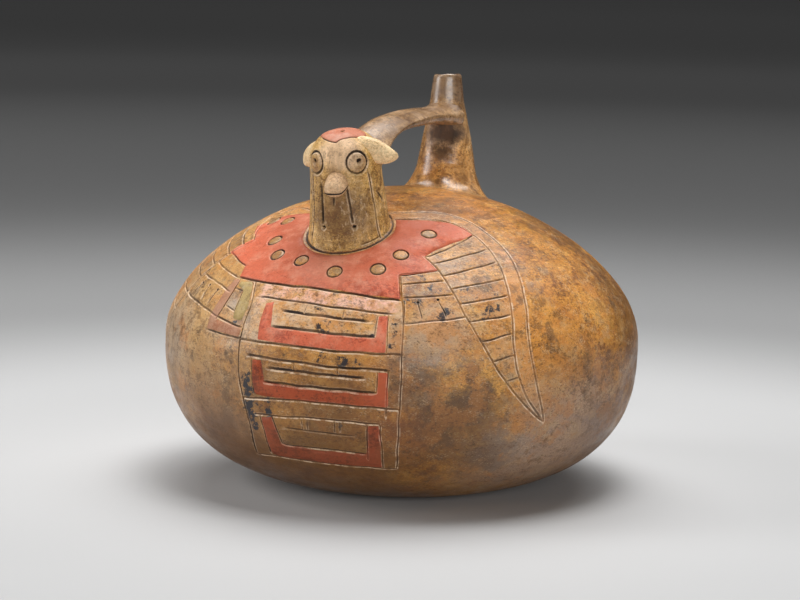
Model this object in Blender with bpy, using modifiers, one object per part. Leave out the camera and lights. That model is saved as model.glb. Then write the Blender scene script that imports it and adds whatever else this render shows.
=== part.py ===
"""Bird effigy vessel: a hand-built bottle with a spout, a bridge strap and a bird's head.

The clay pieces are formed one by one and luted together before firing: a lower bowl, an upper
dome, a tapered spout with a coil round its foot, a strap, and a hollow head with its crown slab,
beak and ear tufts. Resin paint is laid on the fired clay afterwards, so each painted field is a
thin film of its own. Lengths are in metres, +Z is up, the bird faces -Y and its left is +X. The
origin is the centre of the flat base.
"""

import math

import bmesh
import bpy
from mathutils import Matrix, Vector

MM = 0.001

# Body, measured from its widest level
BODY_RADIUS = 100.0 * MM
DOME_HEIGHT = 62.0 * MM
DOME_FULLNESS = 1.81
BOWL_HEIGHT = 65.2 * MM
BOWL_FULLNESS = 2.76
BASE_RADIUS = 40.0 * MM
BODY_WALL = 5.0 * MM

# Spout, standing on the dome behind the body's axis, set in from its widest edge
SPOUT_INSET = 61.2 * MM
SPOUT_BACK = BODY_RADIUS - SPOUT_INSET
SPOUT_LENGTH = 52.0 * MM
SPOUT_LIP_RADIUS = 6.1 * MM
SPOUT_FOOT_RADIUS = 14.8 * MM
SPOUT_BORE_RADIUS = 4.0 * MM
SPOUT_LIP_ROUND = 0.8 * MM
COIL_RADIUS = 4.0 * MM

# Head, standing on the dome in front of the body's axis and leaning forward, set in likewise
HEAD_INSET = 47.5 * MM
HEAD_FORWARD = BODY_RADIUS - HEAD_INSET
HEAD_LEAN = math.radians(11.0)
HEAD_LENGTH = 41.0 * MM
HEAD_FOOT_RADIUS = 17.3 * MM
HEAD_BROW_RADIUS = 15.0 * MM
HEAD_BROW_LEVEL = 28.0 * MM
HEAD_FULLNESS = 2.3
NECK_FLARE = 1.5
HEAD_WALL = 4.0 * MM
HEAD_VENT_RADIUS = 6.0 * MM
CROWN_RADIUS = 10.5 * MM
CROWN_VENT_RADIUS = 1.1 * MM

# Beak, turned a little to the bird's left, opening along the mouth plane
FACE_TURN = math.radians(8.0)
MOUTH_LEVEL = 19.5 * MM
BEAK_DROOP = math.radians(12.0)
UPPER_BEAK_LENGTH = 8.5 * MM
UPPER_BEAK_WIDTH = 10.4 * MM
UPPER_BEAK_HEIGHT = 5.2 * MM
LOWER_BEAK_LENGTH = 5.6 * MM
LOWER_BEAK_WIDTH = 9.2 * MM
LOWER_BEAK_HEIGHT = 3.8 * MM

# Ear tufts, swept back and drooping from the sides of the crown
TUFT_LENGTH = 17.0 * MM
TUFT_HEIGHT = 10.0 * MM
TUFT_THICKNESS = 7.0 * MM
TUFT_REACH = 14.6 * MM
TUFT_SET_BACK = 1.8 * MM
TUFT_BELOW_CROWN = 10.0 * MM
TUFT_LEVEL = HEAD_LENGTH - TUFT_BELOW_CROWN
TUFT_SWEEP = math.radians(20.0)
TUFT_DROOP = math.radians(17.0)

# Bridge strap from the back of the crown to the spout
STRAP_WIDTH = 18.0 * MM
STRAP_THICKNESS = 6.4 * MM
STRAP_EDGE_ROUND = 2.2 * MM
STRAP_ARCH = 4.8 * MM
STRAP_BELOW_CROWN = 3.0 * MM
STRAP_BELOW_LIP = 15.7 * MM
STRAP_BEHIND_CROWN = 5.0 * MM

# Joints between clay pieces, and the paint films
SEAM_GAP = 0.3 * MM
FILM_THICKNESS = 0.5 * MM
NECK_GROOVE = 1.2 * MM

# Painted fields, as angles round the body from the decorated front and heights above the
# widest level; the decoration is turned a little to the bird's left of the head
DECOR_TURN = math.radians(4.0)
COLLAR_FRONT_LEVEL = 27.6 * MM
COLLAR_FRONT_ANGLES = (-31.0, 20.4)
COLLAR_DEPTH = 44.5 * MM
COLLAR_DOT_RADIUS = 3.0 * MM
PANEL_ANGLES = (-16.0, 17.6)
PANEL_BAR_ANGLE = 3.0
PANEL_BAND = 6.0 * MM
PANEL_BOTTOMS = {"upper": 7.2 * MM, "middle": -14.6 * MM, "lower": -40.4 * MM}
PANEL_HEIGHTS = {"upper": 14.6 * MM, "middle": 14.0 * MM, "lower": 17.6 * MM}
PENDANT_ANGLES = (-28.8, -21.2)
PENDANT_LEVELS = (14.2 * MM, 26.4 * MM)
PENDANT_STEM_ANGLE = 3.8
PENDANT_ARM = 2.2 * MM
BORDER_ANGLES = (-32.6, -20.8)
BORDER_BOTTOM = 7.6 * MM
BORDER_STRIP = 4.0 * MM
BORDER_STRIP_ANGLE = 2.6
CROWN_PAINT_RADIUS = 9.6 * MM
CROWN_PAINT_PEAK = 8.2 * MM
CROWN_PAINT_PEAK_OFFSET = 1.0 * MM

# The collar's shoulder corners and reserved dots: angle from the decorated front, and share of
# the collar's depth behind its front edge
COLLAR_LEFT_CORNERS = (
    (19.8, 0.188),
    (31.3, 0.240),
    (28.0, 0.386),
    (50.5, 0.654),
    (44.7, 0.881),
    (15.7, 1.000),
)
COLLAR_RIGHT_CORNERS = (
    (-48.0, 1.000),
    (-53.0, 0.887),
    (-60.0, 0.528),
    (-45.0, 0.415),
    (-48.8, 0.224),
    (-32.5, 0.126),
)
COLLAR_DOTS = (
    (-53.0, 0.649),
    (-42.5, 0.708),
    (-32.0, 0.438),
    (-23.8, 0.292),
    (-12.9, 0.267),
    (0.2, 0.186),
    (13.2, 0.238),
    (20.0, 0.402),
    (31.2, 0.694),
)

# Facets of the turned pieces
BODY_STEPS = 48
NECK_STEPS = 28
DOME_ROWS = 10
BOWL_ROWS = 9
HEAD_NECK_ROWS = 5
HEAD_CROWN_ROWS = 6
STRAP_ROWS = 16
ARC_POINTS = 9
LOBE_SEGMENTS = 16
LOBE_RINGS = 10
WELD_DISTANCE = 0.01 * MM

# Colour and roughness of each finish
FINISHES = {
    "burnished_clay": ((0.36, 0.20, 0.09), 0.40),
    "smoked_clay": ((0.27, 0.17, 0.10), 0.42),
    "head_clay": ((0.42, 0.29, 0.15), 0.55),
    "cream_clay": ((0.62, 0.50, 0.32), 0.60),
    "pink_clay": ((0.58, 0.40, 0.28), 0.55),
    "red_paint": ((0.62, 0.16, 0.08), 0.70),
    "dark_red_paint": ((0.45, 0.11, 0.05), 0.70),
    "yellow_paint": ((0.62, 0.48, 0.20), 0.75),
    "rose_paint": ((0.55, 0.30, 0.20), 0.75),
}


def reset_scene():
    """Remove what the scene holds and make the collections for parts and cutters."""
    for old in list(bpy.data.objects):
        bpy.data.objects.remove(old, do_unlink=True)
    collections = []
    for name in ("bird_effigy_vessel", "cutters"):
        collection = bpy.data.collections.new(name)
        bpy.context.scene.collection.children.link(collection)
        collections.append(collection)
    return collections


def make_finish(name):
    """Make the Principled material of one finish."""
    colour, roughness = FINISHES[name]
    material = bpy.data.materials.new(name)
    material.use_nodes = True
    shader = material.node_tree.nodes["Principled BSDF"]
    shader.inputs["Base Color"].default_value = (*colour, 1.0)
    shader.inputs["Roughness"].default_value = roughness
    shader.inputs["Metallic"].default_value = 0.0
    return material


def superellipse_row(radius, height, fullness, angle, offset):
    """Point of a quarter superellipse, moved out by offset along its normal."""
    across, along = math.cos(angle), math.sin(angle)
    power = 2.0 / fullness
    point = Vector((radius * across ** power, height * along ** power))
    normal = Vector((across ** (2.0 - power) / radius, along ** (2.0 - power) / height))
    return point + normal.normalized() * offset


def dome_rows(offset=0.0, lowest=0.0):
    """Dome outline from its apex down to the height called lowest."""
    end = math.asin((lowest / DOME_HEIGHT) ** (DOME_FULLNESS / 2.0))
    rows = [Vector((0.0, DOME_HEIGHT + offset))]
    for row in range(1, DOME_ROWS + 1):
        angle = math.pi / 2 + (end - math.pi / 2) * row / DOME_ROWS
        rows.append(superellipse_row(BODY_RADIUS, DOME_HEIGHT, DOME_FULLNESS, angle, offset))
    return rows


def bowl_rows(offset=0.0):
    """Bowl outline from the widest level down to the edge of the flat base."""
    end = math.acos((BASE_RADIUS / BODY_RADIUS) ** (BOWL_FULLNESS / 2.0))
    rows = []
    for row in range(BOWL_ROWS + 1):
        point = superellipse_row(BODY_RADIUS, BOWL_HEIGHT, BOWL_FULLNESS, end * row / BOWL_ROWS, offset)
        rows.append(Vector((point.x, -point.y)))
    return rows


def body_radius_at(level):
    """Outer radius of the body at a height above its widest level."""
    if level < 0.0:
        return BODY_RADIUS * (1.0 - (-level / BOWL_HEIGHT) ** BOWL_FULLNESS) ** (1.0 / BOWL_FULLNESS)
    return BODY_RADIUS * (1.0 - (level / DOME_HEIGHT) ** DOME_FULLNESS) ** (1.0 / DOME_FULLNESS)


def dome_level_at(distance):
    """Height of the dome's surface at a distance from the body's axis."""
    return DOME_HEIGHT * (1.0 - (distance / BODY_RADIUS) ** DOME_FULLNESS) ** (1.0 / DOME_FULLNESS)


def head_radius_at(level):
    """Outer radius of the neck at a height above the head's foot, up to the brow."""
    rise = 1.0 - level / HEAD_BROW_LEVEL
    return HEAD_BROW_RADIUS + (HEAD_FOOT_RADIUS - HEAD_BROW_RADIUS) * rise ** NECK_FLARE


def crown_rows(edge_radius, offset=0.0, rows=HEAD_CROWN_ROWS):
    """Crown outline from the head's apex down to where its radius is edge_radius."""
    top = HEAD_LENGTH - HEAD_BROW_LEVEL
    end = math.acos((edge_radius / HEAD_BROW_RADIUS) ** (HEAD_FULLNESS / 2.0))
    points = [Vector((0.0, HEAD_LENGTH + offset))]
    for row in range(1, rows + 1):
        angle = math.pi / 2 + (end - math.pi / 2) * row / rows
        point = superellipse_row(HEAD_BROW_RADIUS, top, HEAD_FULLNESS, angle, offset)
        points.append(Vector((point.x, point.y + HEAD_BROW_LEVEL)))
    return points


def neck_rows(lowest, offset=0.0):
    """Neck outline from just under the brow down to the level called lowest."""
    rows = []
    for row in range(1, HEAD_NECK_ROWS + 1):
        level = HEAD_BROW_LEVEL + (lowest - HEAD_BROW_LEVEL) * row / HEAD_NECK_ROWS
        rows.append(Vector((head_radius_at(level) + offset, level)))
    return rows


EQUATOR_LEVEL = -bowl_rows()[-1].y
SPOUT_SEAT = dome_level_at(SPOUT_BACK)
SPOUT_LIP_LEVEL = SPOUT_SEAT + SPOUT_LENGTH
SPOUT_ROOT = dome_level_at(SPOUT_BACK + SPOUT_FOOT_RADIUS) - 2.0 * BODY_WALL
HEAD_SEAT = dome_level_at(HEAD_FORWARD)
HEAD_ROOT = dome_level_at(HEAD_FORWARD + HEAD_FOOT_RADIUS) - HEAD_SEAT - BODY_WALL
CROWN_SEAM = crown_rows(CROWN_RADIUS)[-1].y
CROWN_BACK = -HEAD_FORWARD - HEAD_LENGTH * math.sin(HEAD_LEAN)
CROWN_TOP = HEAD_SEAT + HEAD_LENGTH * math.cos(HEAD_LEAN)


def spout_radius_at(level):
    """Outer radius of the tapered spout at a height above the body's widest level."""
    share = (SPOUT_LIP_LEVEL - level) / SPOUT_LENGTH
    return SPOUT_LIP_RADIUS + (SPOUT_FOOT_RADIUS - SPOUT_LIP_RADIUS) * share


class Workshop:
    """Makes named pieces and cutters and keeps them under their parent empties."""

    def __init__(self):
        self.parts, self.cutters = reset_scene()
        self.finishes = {name: make_finish(name) for name in FINISHES}
        self.body_frame = self.add_frame("body_frame", Matrix.Translation((0.0, 0.0, EQUATOR_LEVEL)), None)
        lean = Matrix.Rotation(HEAD_LEAN, 4, "X")
        seat = Matrix.Translation((0.0, -HEAD_FORWARD, HEAD_SEAT))
        self.head_frame = self.add_frame("head_frame", seat @ lean, self.body_frame)

    def add_frame(self, name, matrix, parent):
        """Make an empty that other pieces hang from."""
        empty = bpy.data.objects.new(name, None)
        empty.parent = parent
        empty.matrix_local = matrix
        self.parts.objects.link(empty)
        return empty

    def add_piece(self, name, mesh, parent, finish=None):
        """Link a mesh as a named piece, or as a wire cutter where it has no finish."""
        piece = bpy.data.objects.new(name, mesh)
        piece.parent = parent
        if finish is None:
            self.cutters.objects.link(piece)
            piece.hide_render = True
            piece.display_type = "WIRE"
        else:
            self.parts.objects.link(piece)
            mesh.materials.append(self.finishes[finish])
        return piece

    def turn(self, name, profile, steps, parent, finish=None, closed=False):
        """Turn a profile of (radius, height) points round the parent's Z axis."""
        mesh = bpy.data.meshes.new(name)
        edges = [(i, i + 1) for i in range(len(profile) - 1)]
        if closed:
            edges.append((len(profile) - 1, 0))
        mesh.from_pydata([(p[0], 0.0, p[1]) for p in profile], edges, [])
        piece = self.add_piece(name, mesh, parent, finish)
        screw = piece.modifiers.new("turn", "SCREW")
        screw.steps = steps
        screw.render_steps = steps
        screw.use_merge_vertices = True
        screw.merge_threshold = WELD_DISTANCE
        screw.use_smooth_shade = True
        return piece

    def extrude(self, name, outlines, depth, matrix, parent, finish=None):
        """Extrude flat outlines through depth; inner outlines become holes."""
        curve = bpy.data.curves.new(name, "CURVE")
        curve.dimensions = "2D"
        curve.fill_mode = "BOTH"
        curve.extrude = depth / 2.0
        for outline in outlines:
            spline = curve.splines.new("POLY")
            spline.points.add(len(outline) - 1)
            for point, place in zip(spline.points, outline):
                point.co = (place[0], place[1], 0.0, 1.0)
            spline.use_cyclic_u = True
        return self.add_piece(name, self.mesh_of_curve(curve, matrix), parent, finish)

    def mesh_of_curve(self, curve, matrix=Matrix.Identity(4)):
        """Turn a curve into a closed mesh with its caps welded on."""
        rough = bpy.data.objects.new("rough", curve)
        self.cutters.objects.link(rough)
        evaluated = rough.evaluated_get(bpy.context.evaluated_depsgraph_get())
        mesh = bpy.data.meshes.new_from_object(evaluated)
        mesh.materials.clear()
        shape = bmesh.new()
        shape.from_mesh(mesh)
        bmesh.ops.remove_doubles(shape, verts=shape.verts, dist=WELD_DISTANCE)
        bmesh.ops.transform(shape, matrix=matrix, verts=shape.verts)
        shape.to_mesh(mesh)
        shape.free()
        bpy.data.objects.remove(rough, do_unlink=True)
        return mesh

    def lobe(self, name, size, matrix, parent, finish):
        """Make a rounded lobe of the given length, width and height."""
        mesh = bpy.data.meshes.new(name)
        shape = bmesh.new()
        bmesh.ops.create_uvsphere(shape, u_segments=LOBE_SEGMENTS, v_segments=LOBE_RINGS, radius=0.5)
        bmesh.ops.transform(shape, matrix=matrix @ Matrix.Diagonal((*size, 1.0)), verts=shape.verts)
        shape.to_mesh(mesh)
        shape.free()
        mesh.shade_smooth()
        return self.add_piece(name, mesh, parent, finish)

    def half_space(self, name, matrix, parent, side):
        """Make a block whose top or bottom face lies on the plane z = 0 of matrix."""
        mesh = bpy.data.meshes.new(name)
        shape = bmesh.new()
        bmesh.ops.create_cube(shape, size=HEAD_LENGTH * 2.0)
        shift = Matrix.Translation((0.0, 0.0, side * HEAD_LENGTH))
        bmesh.ops.transform(shape, matrix=matrix @ shift, verts=shape.verts)
        shape.to_mesh(mesh)
        shape.free()
        return self.add_piece(name, mesh, parent)

    @staticmethod
    def combine(piece, other, operation="DIFFERENCE"):
        """Add an exact Boolean to a piece."""
        boolean = piece.modifiers.new(other.name, "BOOLEAN")
        boolean.object = other
        boolean.operation = operation
        boolean.solver = "EXACT"


def rod(radius, top, bottom):
    """Profile of a plain round rod."""
    return [(0.0, top), (radius, top), (radius, bottom), (0.0, bottom)]


def build_envelopes(shop):
    """Make the cutters that shape each piece where it sits on its neighbour."""
    body = dome_rows(SEAM_GAP) + bowl_rows(SEAM_GAP)[1:]
    body.append(Vector((0.0, body[-1].y)))
    envelopes = {"body": shop.turn("body_envelope", body, BODY_STEPS, shop.body_frame)}
    top = SPOUT_LIP_LEVEL + SPOUT_LIP_RADIUS
    spout = [
        (0.0, top),
        (spout_radius_at(top) + SEAM_GAP, top),
        (spout_radius_at(SPOUT_ROOT) + SEAM_GAP, SPOUT_ROOT),
        (0.0, SPOUT_ROOT),
    ]
    envelopes["spout"] = shop.turn("spout_envelope", spout, NECK_STEPS, shop.body_frame)
    envelopes["spout"].location.y = SPOUT_BACK
    for name, offset in (("head", SEAM_GAP), ("neck_groove", NECK_GROOVE)):
        head = crown_rows(HEAD_BROW_RADIUS, offset) + neck_rows(HEAD_ROOT, offset)
        head.append(Vector((0.0, HEAD_ROOT)))
        envelopes[name] = shop.turn(name + "_envelope", head, NECK_STEPS, shop.head_frame)
    return envelopes


def build_body(shop):
    """Lower bowl and upper dome, butted at the widest level, with ways up into spout and head."""
    floor = bowl_rows(-BODY_WALL)
    bowl = [Vector((0.0, floor[-1].y))] + floor[::-1] + bowl_rows()
    bowl.append(Vector((0.0, -EQUATOR_LEVEL)))
    shop.turn("lower_bowl", bowl, BODY_STEPS, shop.body_frame, "smoked_clay")
    inner = dome_rows(-BODY_WALL)
    inner[-1].y = SEAM_GAP
    dome = dome_rows(0.0, SEAM_GAP) + inner[::-1]
    upper_dome = shop.turn("upper_dome", dome, BODY_STEPS, shop.body_frame, "burnished_clay")
    spout_way = shop.turn(
        "spout_way", rod(SPOUT_BORE_RADIUS, SPOUT_LIP_LEVEL, 0.0), NECK_STEPS, shop.body_frame
    )
    spout_way.location.y = SPOUT_BACK
    head_way = shop.turn(
        "head_way", rod(HEAD_VENT_RADIUS, HEAD_BROW_LEVEL, -HEAD_SEAT), NECK_STEPS, shop.head_frame
    )
    shop.combine(upper_dome, spout_way)
    shop.combine(upper_dome, head_way)


def build_spout(shop, envelopes):
    """Tapered tubular spout, and the coil of clay pressed into the corner at its foot."""
    tube = [
        (SPOUT_LIP_RADIUS - SPOUT_LIP_ROUND, SPOUT_LIP_LEVEL),
        (SPOUT_LIP_RADIUS, SPOUT_LIP_LEVEL - SPOUT_LIP_ROUND),
        (spout_radius_at(SPOUT_ROOT), SPOUT_ROOT),
        (SPOUT_BORE_RADIUS, SPOUT_ROOT),
        (SPOUT_BORE_RADIUS, SPOUT_LIP_LEVEL),
    ]
    spout = shop.turn("spout_tube", tube, NECK_STEPS, shop.body_frame, "burnished_clay", closed=True)
    spout.location.y = SPOUT_BACK
    shop.combine(spout, envelopes["body"])

    curve = bpy.data.curves.new("spout_foot_coil", "CURVE")
    curve.dimensions = "3D"
    curve.bevel_depth = COIL_RADIUS
    curve.bevel_resolution = 2
    spline = curve.splines.new("POLY")
    spline.points.add(NECK_STEPS - 1)
    for step, point in enumerate(spline.points):
        around = 2.0 * math.pi * step / NECK_STEPS
        level = SPOUT_SEAT
        for _ in range(6):
            reach = spout_radius_at(level)
            place = Vector((reach * math.cos(around), SPOUT_BACK + reach * math.sin(around)))
            level = dome_level_at(place.length)
        point.co = (place.x, place.y, level, 1.0)
    spline.use_cyclic_u = True
    coil = shop.add_piece("spout_foot_coil", shop.mesh_of_curve(curve), shop.body_frame, "burnished_clay")
    shop.combine(coil, envelopes["body"])
    shop.combine(coil, envelopes["spout"])


def build_head(shop, envelopes):
    """Hollow leaning head with its crown slab, ear tufts and beak."""
    lowered = CROWN_SEAM - SEAM_GAP
    lowered_radius = HEAD_BROW_RADIUS * (
        1.0 - ((lowered - HEAD_BROW_LEVEL) / (HEAD_LENGTH - HEAD_BROW_LEVEL)) ** HEAD_FULLNESS
    ) ** (1.0 / HEAD_FULLNESS)
    outer = [Vector((lowered_radius, lowered))]
    outer += [row for row in crown_rows(HEAD_BROW_RADIUS) if row.x > lowered_radius]
    outer += neck_rows(HEAD_ROOT)
    inner = [Vector((row.x - HEAD_WALL, row.y)) for row in outer]
    wall = outer + inner[::-1]
    shell = shop.turn("head_shell", wall, NECK_STEPS, shop.head_frame, "head_clay", closed=True)
    shop.combine(shell, envelopes["body"])

    slab = [row for row in crown_rows(CROWN_RADIUS) if row.x > CROWN_VENT_RADIUS]
    slab.insert(0, Vector((CROWN_VENT_RADIUS, HEAD_LENGTH)))
    slab.append(Vector((CROWN_VENT_RADIUS, CROWN_SEAM)))
    shop.turn("crown_slab", slab, NECK_STEPS, shop.head_frame, "head_clay", closed=True)

    for name, side in (("left_tuft", 1.0), ("right_tuft", -1.0)):
        place = Matrix.Translation((side * TUFT_REACH, TUFT_SET_BACK, TUFT_LEVEL))
        pose = Matrix.Rotation(side * TUFT_SWEEP, 4, "Z") @ Matrix.Rotation(side * TUFT_DROOP, 4, "Y")
        size = (TUFT_LENGTH, TUFT_THICKNESS, TUFT_HEIGHT)
        tuft = shop.lobe(name, size, place @ pose, shop.head_frame, "cream_clay")
        shop.combine(tuft, envelopes["head"])

    front = Matrix.Rotation(FACE_TURN, 4, "Z")
    mouth = front @ Matrix.Translation((0.0, -head_radius_at(MOUTH_LEVEL), MOUTH_LEVEL))
    mouth = mouth @ Matrix.Rotation(BEAK_DROOP, 4, "X")
    halves = (
        ("upper_beak", UPPER_BEAK_WIDTH, UPPER_BEAK_LENGTH, UPPER_BEAK_HEIGHT, 0.5, -1.0),
        ("lower_beak", LOWER_BEAK_WIDTH, LOWER_BEAK_LENGTH, LOWER_BEAK_HEIGHT, -0.5, 1.0),
    )
    for name, width, length, height, lift, cut_side in halves:
        beak = shop.lobe(name, (width, 2.0 * length, 2.0 * height), mouth, shop.head_frame, "pink_clay")
        plane = mouth @ Matrix.Translation((0.0, 0.0, lift * SEAM_GAP))
        shop.combine(beak, shop.half_space(name + "_mouth", plane, shop.head_frame, cut_side))
        shop.combine(beak, envelopes["head"])


def build_strap(shop, envelopes):
    """Arched strap, cut to fit the back of the crown and the front of the spout."""
    start = Vector((CROWN_BACK + STRAP_BEHIND_CROWN, CROWN_TOP - STRAP_BELOW_CROWN))
    end = Vector((SPOUT_BACK, SPOUT_LIP_LEVEL - STRAP_BELOW_LIP))
    top = []
    bottom = []
    for row in range(STRAP_ROWS + 1):
        share = row / STRAP_ROWS
        place = start.lerp(end, share)
        place.y += 4.0 * STRAP_ARCH * share * (1.0 - share)
        along = end - start + Vector((0.0, 4.0 * STRAP_ARCH * (1.0 - 2.0 * share)))
        across = Vector((along.y, -along.x)).normalized()
        top.append(place)
        bottom.append(place + across * STRAP_THICKNESS)
    upright = Matrix(((0, 0, 1, 0), (1, 0, 0, 0), (0, 1, 0, 0), (0, 0, 0, 1)))
    strap = shop.extrude(
        "bridge_strap", [top + bottom[::-1]], STRAP_WIDTH, upright, shop.body_frame, "burnished_clay"
    )
    bevel = strap.modifiers.new("edge", "BEVEL")
    bevel.width = STRAP_EDGE_ROUND
    bevel.segments = 2
    bevel.limit_method = "ANGLE"
    bevel.angle_limit = math.radians(60.0)
    shop.combine(strap, envelopes["head"])
    shop.combine(strap, envelopes["spout"])


def film_shell(shop, name, finish):
    """Thin turned skin just outside the body, to be cut to a painted field."""
    outer = dome_rows(SEAM_GAP + FILM_THICKNESS) + bowl_rows(SEAM_GAP + FILM_THICKNESS)[1:]
    inner = dome_rows(SEAM_GAP) + bowl_rows(SEAM_GAP)[1:]
    return shop.turn(name, outer + inner[::-1], BODY_STEPS, shop.body_frame, finish)


def plan_point(angle, distance):
    """Plan position at an angle in degrees from the decorated front."""
    turn = math.radians(angle) + DECOR_TURN
    return (distance * math.sin(turn), -distance * math.cos(turn))


def ring(centre, radius):
    """Round outline about a centre."""
    points = []
    for step in range(2 * ARC_POINTS):
        turn = math.pi * step / ARC_POINTS
        points.append((centre[0] + radius * math.cos(turn), centre[1] + radius * math.sin(turn)))
    return points


def build_collar_paint(shop, envelopes):
    """Red collar round the neck, with reserved dots, laid on the dome."""
    film = film_shell(shop, "collar_paint", "red_paint")
    low, high = COLLAR_FRONT_ANGLES
    front = body_radius_at(COLLAR_FRONT_LEVEL)
    outline = []
    for step in range(ARC_POINTS + 1):
        outline.append(plan_point(low + (high - low) * step / ARC_POINTS, front))
    for angle, share in COLLAR_LEFT_CORNERS + COLLAR_RIGHT_CORNERS:
        outline.append(plan_point(angle, front - share * COLLAR_DEPTH))
    dots = []
    for angle, share in COLLAR_DOTS:
        dots.append(ring(plan_point(angle, front - share * COLLAR_DEPTH), COLLAR_DOT_RADIUS))
    rise = Matrix.Translation((0.0, 0.0, DOME_HEIGHT))
    field = shop.extrude("collar_field", [outline] + dots, 2.0 * DOME_HEIGHT, rise, shop.body_frame)
    shop.combine(film, field, "INTERSECT")
    shop.combine(film, envelopes["neck_groove"])


def front_field(shop, name, finish, corners):
    """Painted field on the front of the body, from corners of (angle, level)."""
    film = film_shell(shop, name, finish)
    outline = []
    for angle, level in corners:
        outline.append((body_radius_at(level) * math.sin(math.radians(angle) + DECOR_TURN), level))
    depth = 2.0 * BODY_RADIUS
    facing = Matrix.Translation((0.0, -depth / 2.0, 0.0)) @ Matrix.Rotation(math.pi / 2, 4, "X")
    field = shop.extrude(name + "_field", [outline], depth, facing, shop.body_frame)
    shop.combine(film, field, "INTERSECT")


def build_panel_paints(shop):
    """Three red trays, one above another, down the breast."""
    left, right = PANEL_ANGLES
    finishes = {"upper": "red_paint", "middle": "red_paint", "lower": "dark_red_paint"}
    for name, bottom in PANEL_BOTTOMS.items():
        top = bottom + PANEL_HEIGHTS[name]
        floor = bottom + PANEL_BAND
        corners = (
            (left, top),
            (left, bottom),
            (right, bottom),
            (right, top),
            (right - PANEL_BAR_ANGLE, top),
            (right - PANEL_BAR_ANGLE, floor),
            (left + PANEL_BAR_ANGLE, floor),
            (left + PANEL_BAR_ANGLE, top),
        )
        front_field(shop, name + "_panel_paint", finishes[name], corners)


def build_pendant_paints(shop):
    """Yellow hook and rose border of the pendant beside the breast panels."""
    left, right = PENDANT_ANGLES
    bottom, top = PENDANT_LEVELS
    hook = (
        (left, top),
        (left, top - PENDANT_ARM),
        (right - PENDANT_STEM_ANGLE, top - PENDANT_ARM),
        (right - PENDANT_STEM_ANGLE, bottom),
        (right, bottom),
        (right, top),
    )
    front_field(shop, "pendant_yellow_paint", "yellow_paint", hook)
    left, right = BORDER_ANGLES
    border = (
        (left, top),
        (left, BORDER_BOTTOM),
        (right, BORDER_BOTTOM),
        (right, BORDER_BOTTOM + BORDER_STRIP),
        (left + BORDER_STRIP_ANGLE, BORDER_BOTTOM + BORDER_STRIP),
        (left + BORDER_STRIP_ANGLE, top),
    )
    front_field(shop, "pendant_border_paint", "rose_paint", border)


def build_crown_paint(shop):
    """Red cap painted on the crown, peaked over the brow and stopping short of the strap."""
    outer = crown_rows(HEAD_BROW_RADIUS, SEAM_GAP + FILM_THICKNESS)
    inner = crown_rows(HEAD_BROW_RADIUS, SEAM_GAP)
    film = shop.turn("crown_paint", outer + inner[::-1], NECK_STEPS, shop.head_frame, "red_paint")
    back = STRAP_BEHIND_CROWN - 2.0 * SEAM_GAP - FILM_THICKNESS
    start = math.asin(back / CROWN_PAINT_RADIUS)
    outline = []
    for side in (1.0, -1.0):
        arc = []
        for step in range(ARC_POINTS):
            turn = start * (1.0 - step / (ARC_POINTS - 1))
            arc.append((side * CROWN_PAINT_RADIUS * math.cos(turn), CROWN_PAINT_RADIUS * math.sin(turn)))
        outline += arc if side > 0.0 else arc[::-1]
        if side > 0.0:
            outline.append((CROWN_PAINT_PEAK_OFFSET, -CROWN_PAINT_PEAK))
    vent = ring((0.0, 0.0), CROWN_VENT_RADIUS + SEAM_GAP)
    rise = Matrix.Translation((0.0, 0.0, HEAD_LENGTH))
    field = shop.extrude("crown_field", [outline, vent], 2.0 * HEAD_LENGTH, rise, shop.head_frame)
    shop.combine(film, field, "INTERSECT")


def main():
    """Build every piece of the vessel."""
    shop = Workshop()
    envelopes = build_envelopes(shop)
    build_body(shop)
    build_spout(shop, envelopes)
    build_head(shop, envelopes)
    build_strap(shop, envelopes)
    build_collar_paint(shop, envelopes)
    build_panel_paints(shop)
    build_pendant_paints(shop)
    build_crown_paint(shop)
    bpy.context.view_layer.update()


main()
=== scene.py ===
"""Looks of the bird effigy vessel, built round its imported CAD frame.

Every clay piece is remade here as a finely meshed skin whose incised lines are real grooves, and
every painted field as a film that follows the clay under it. Shapes are worked out in millimetres
from the centre of the body's widest level, with +Z up, the bird facing -Y and its left towards +X,
and are set down in metres in the frame of the CAD.
"""

import logging
import math
from collections.abc import Callable
from dataclasses import dataclass, field
from enum import Enum
from functools import cached_property, partial

import bpy
import numpy as np
from mathutils import Matrix, Vector, kdtree, noise
from mathutils.geometry import delaunay_2d_cdt


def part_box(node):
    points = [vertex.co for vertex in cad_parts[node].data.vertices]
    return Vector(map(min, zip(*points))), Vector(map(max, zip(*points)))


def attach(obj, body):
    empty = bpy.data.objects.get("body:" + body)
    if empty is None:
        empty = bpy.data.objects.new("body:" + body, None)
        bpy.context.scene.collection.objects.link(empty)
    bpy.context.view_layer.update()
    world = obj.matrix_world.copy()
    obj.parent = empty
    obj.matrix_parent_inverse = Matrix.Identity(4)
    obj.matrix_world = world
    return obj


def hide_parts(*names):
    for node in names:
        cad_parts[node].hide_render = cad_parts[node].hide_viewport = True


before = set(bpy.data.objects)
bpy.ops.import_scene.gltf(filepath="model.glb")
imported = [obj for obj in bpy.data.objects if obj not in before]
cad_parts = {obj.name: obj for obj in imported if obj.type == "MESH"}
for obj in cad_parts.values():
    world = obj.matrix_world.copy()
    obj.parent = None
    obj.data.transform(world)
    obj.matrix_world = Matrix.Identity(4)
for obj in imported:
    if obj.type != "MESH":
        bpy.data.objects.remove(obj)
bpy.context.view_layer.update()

LOG = logging.getLogger("bird_effigy_vessel")
BODY = "root"
MM = 0.001
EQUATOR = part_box("lower_bowl")[1].z / MM
DECOR_TURN = 4.0
DISC_POINTS = 20
ON_EDGE = 1e-3
FILM_EDGE = 0.4
FILM_ROOT = 0.1

Points = tuple[tuple[float, float], ...]
Tone = tuple[float, float, float]


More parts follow.
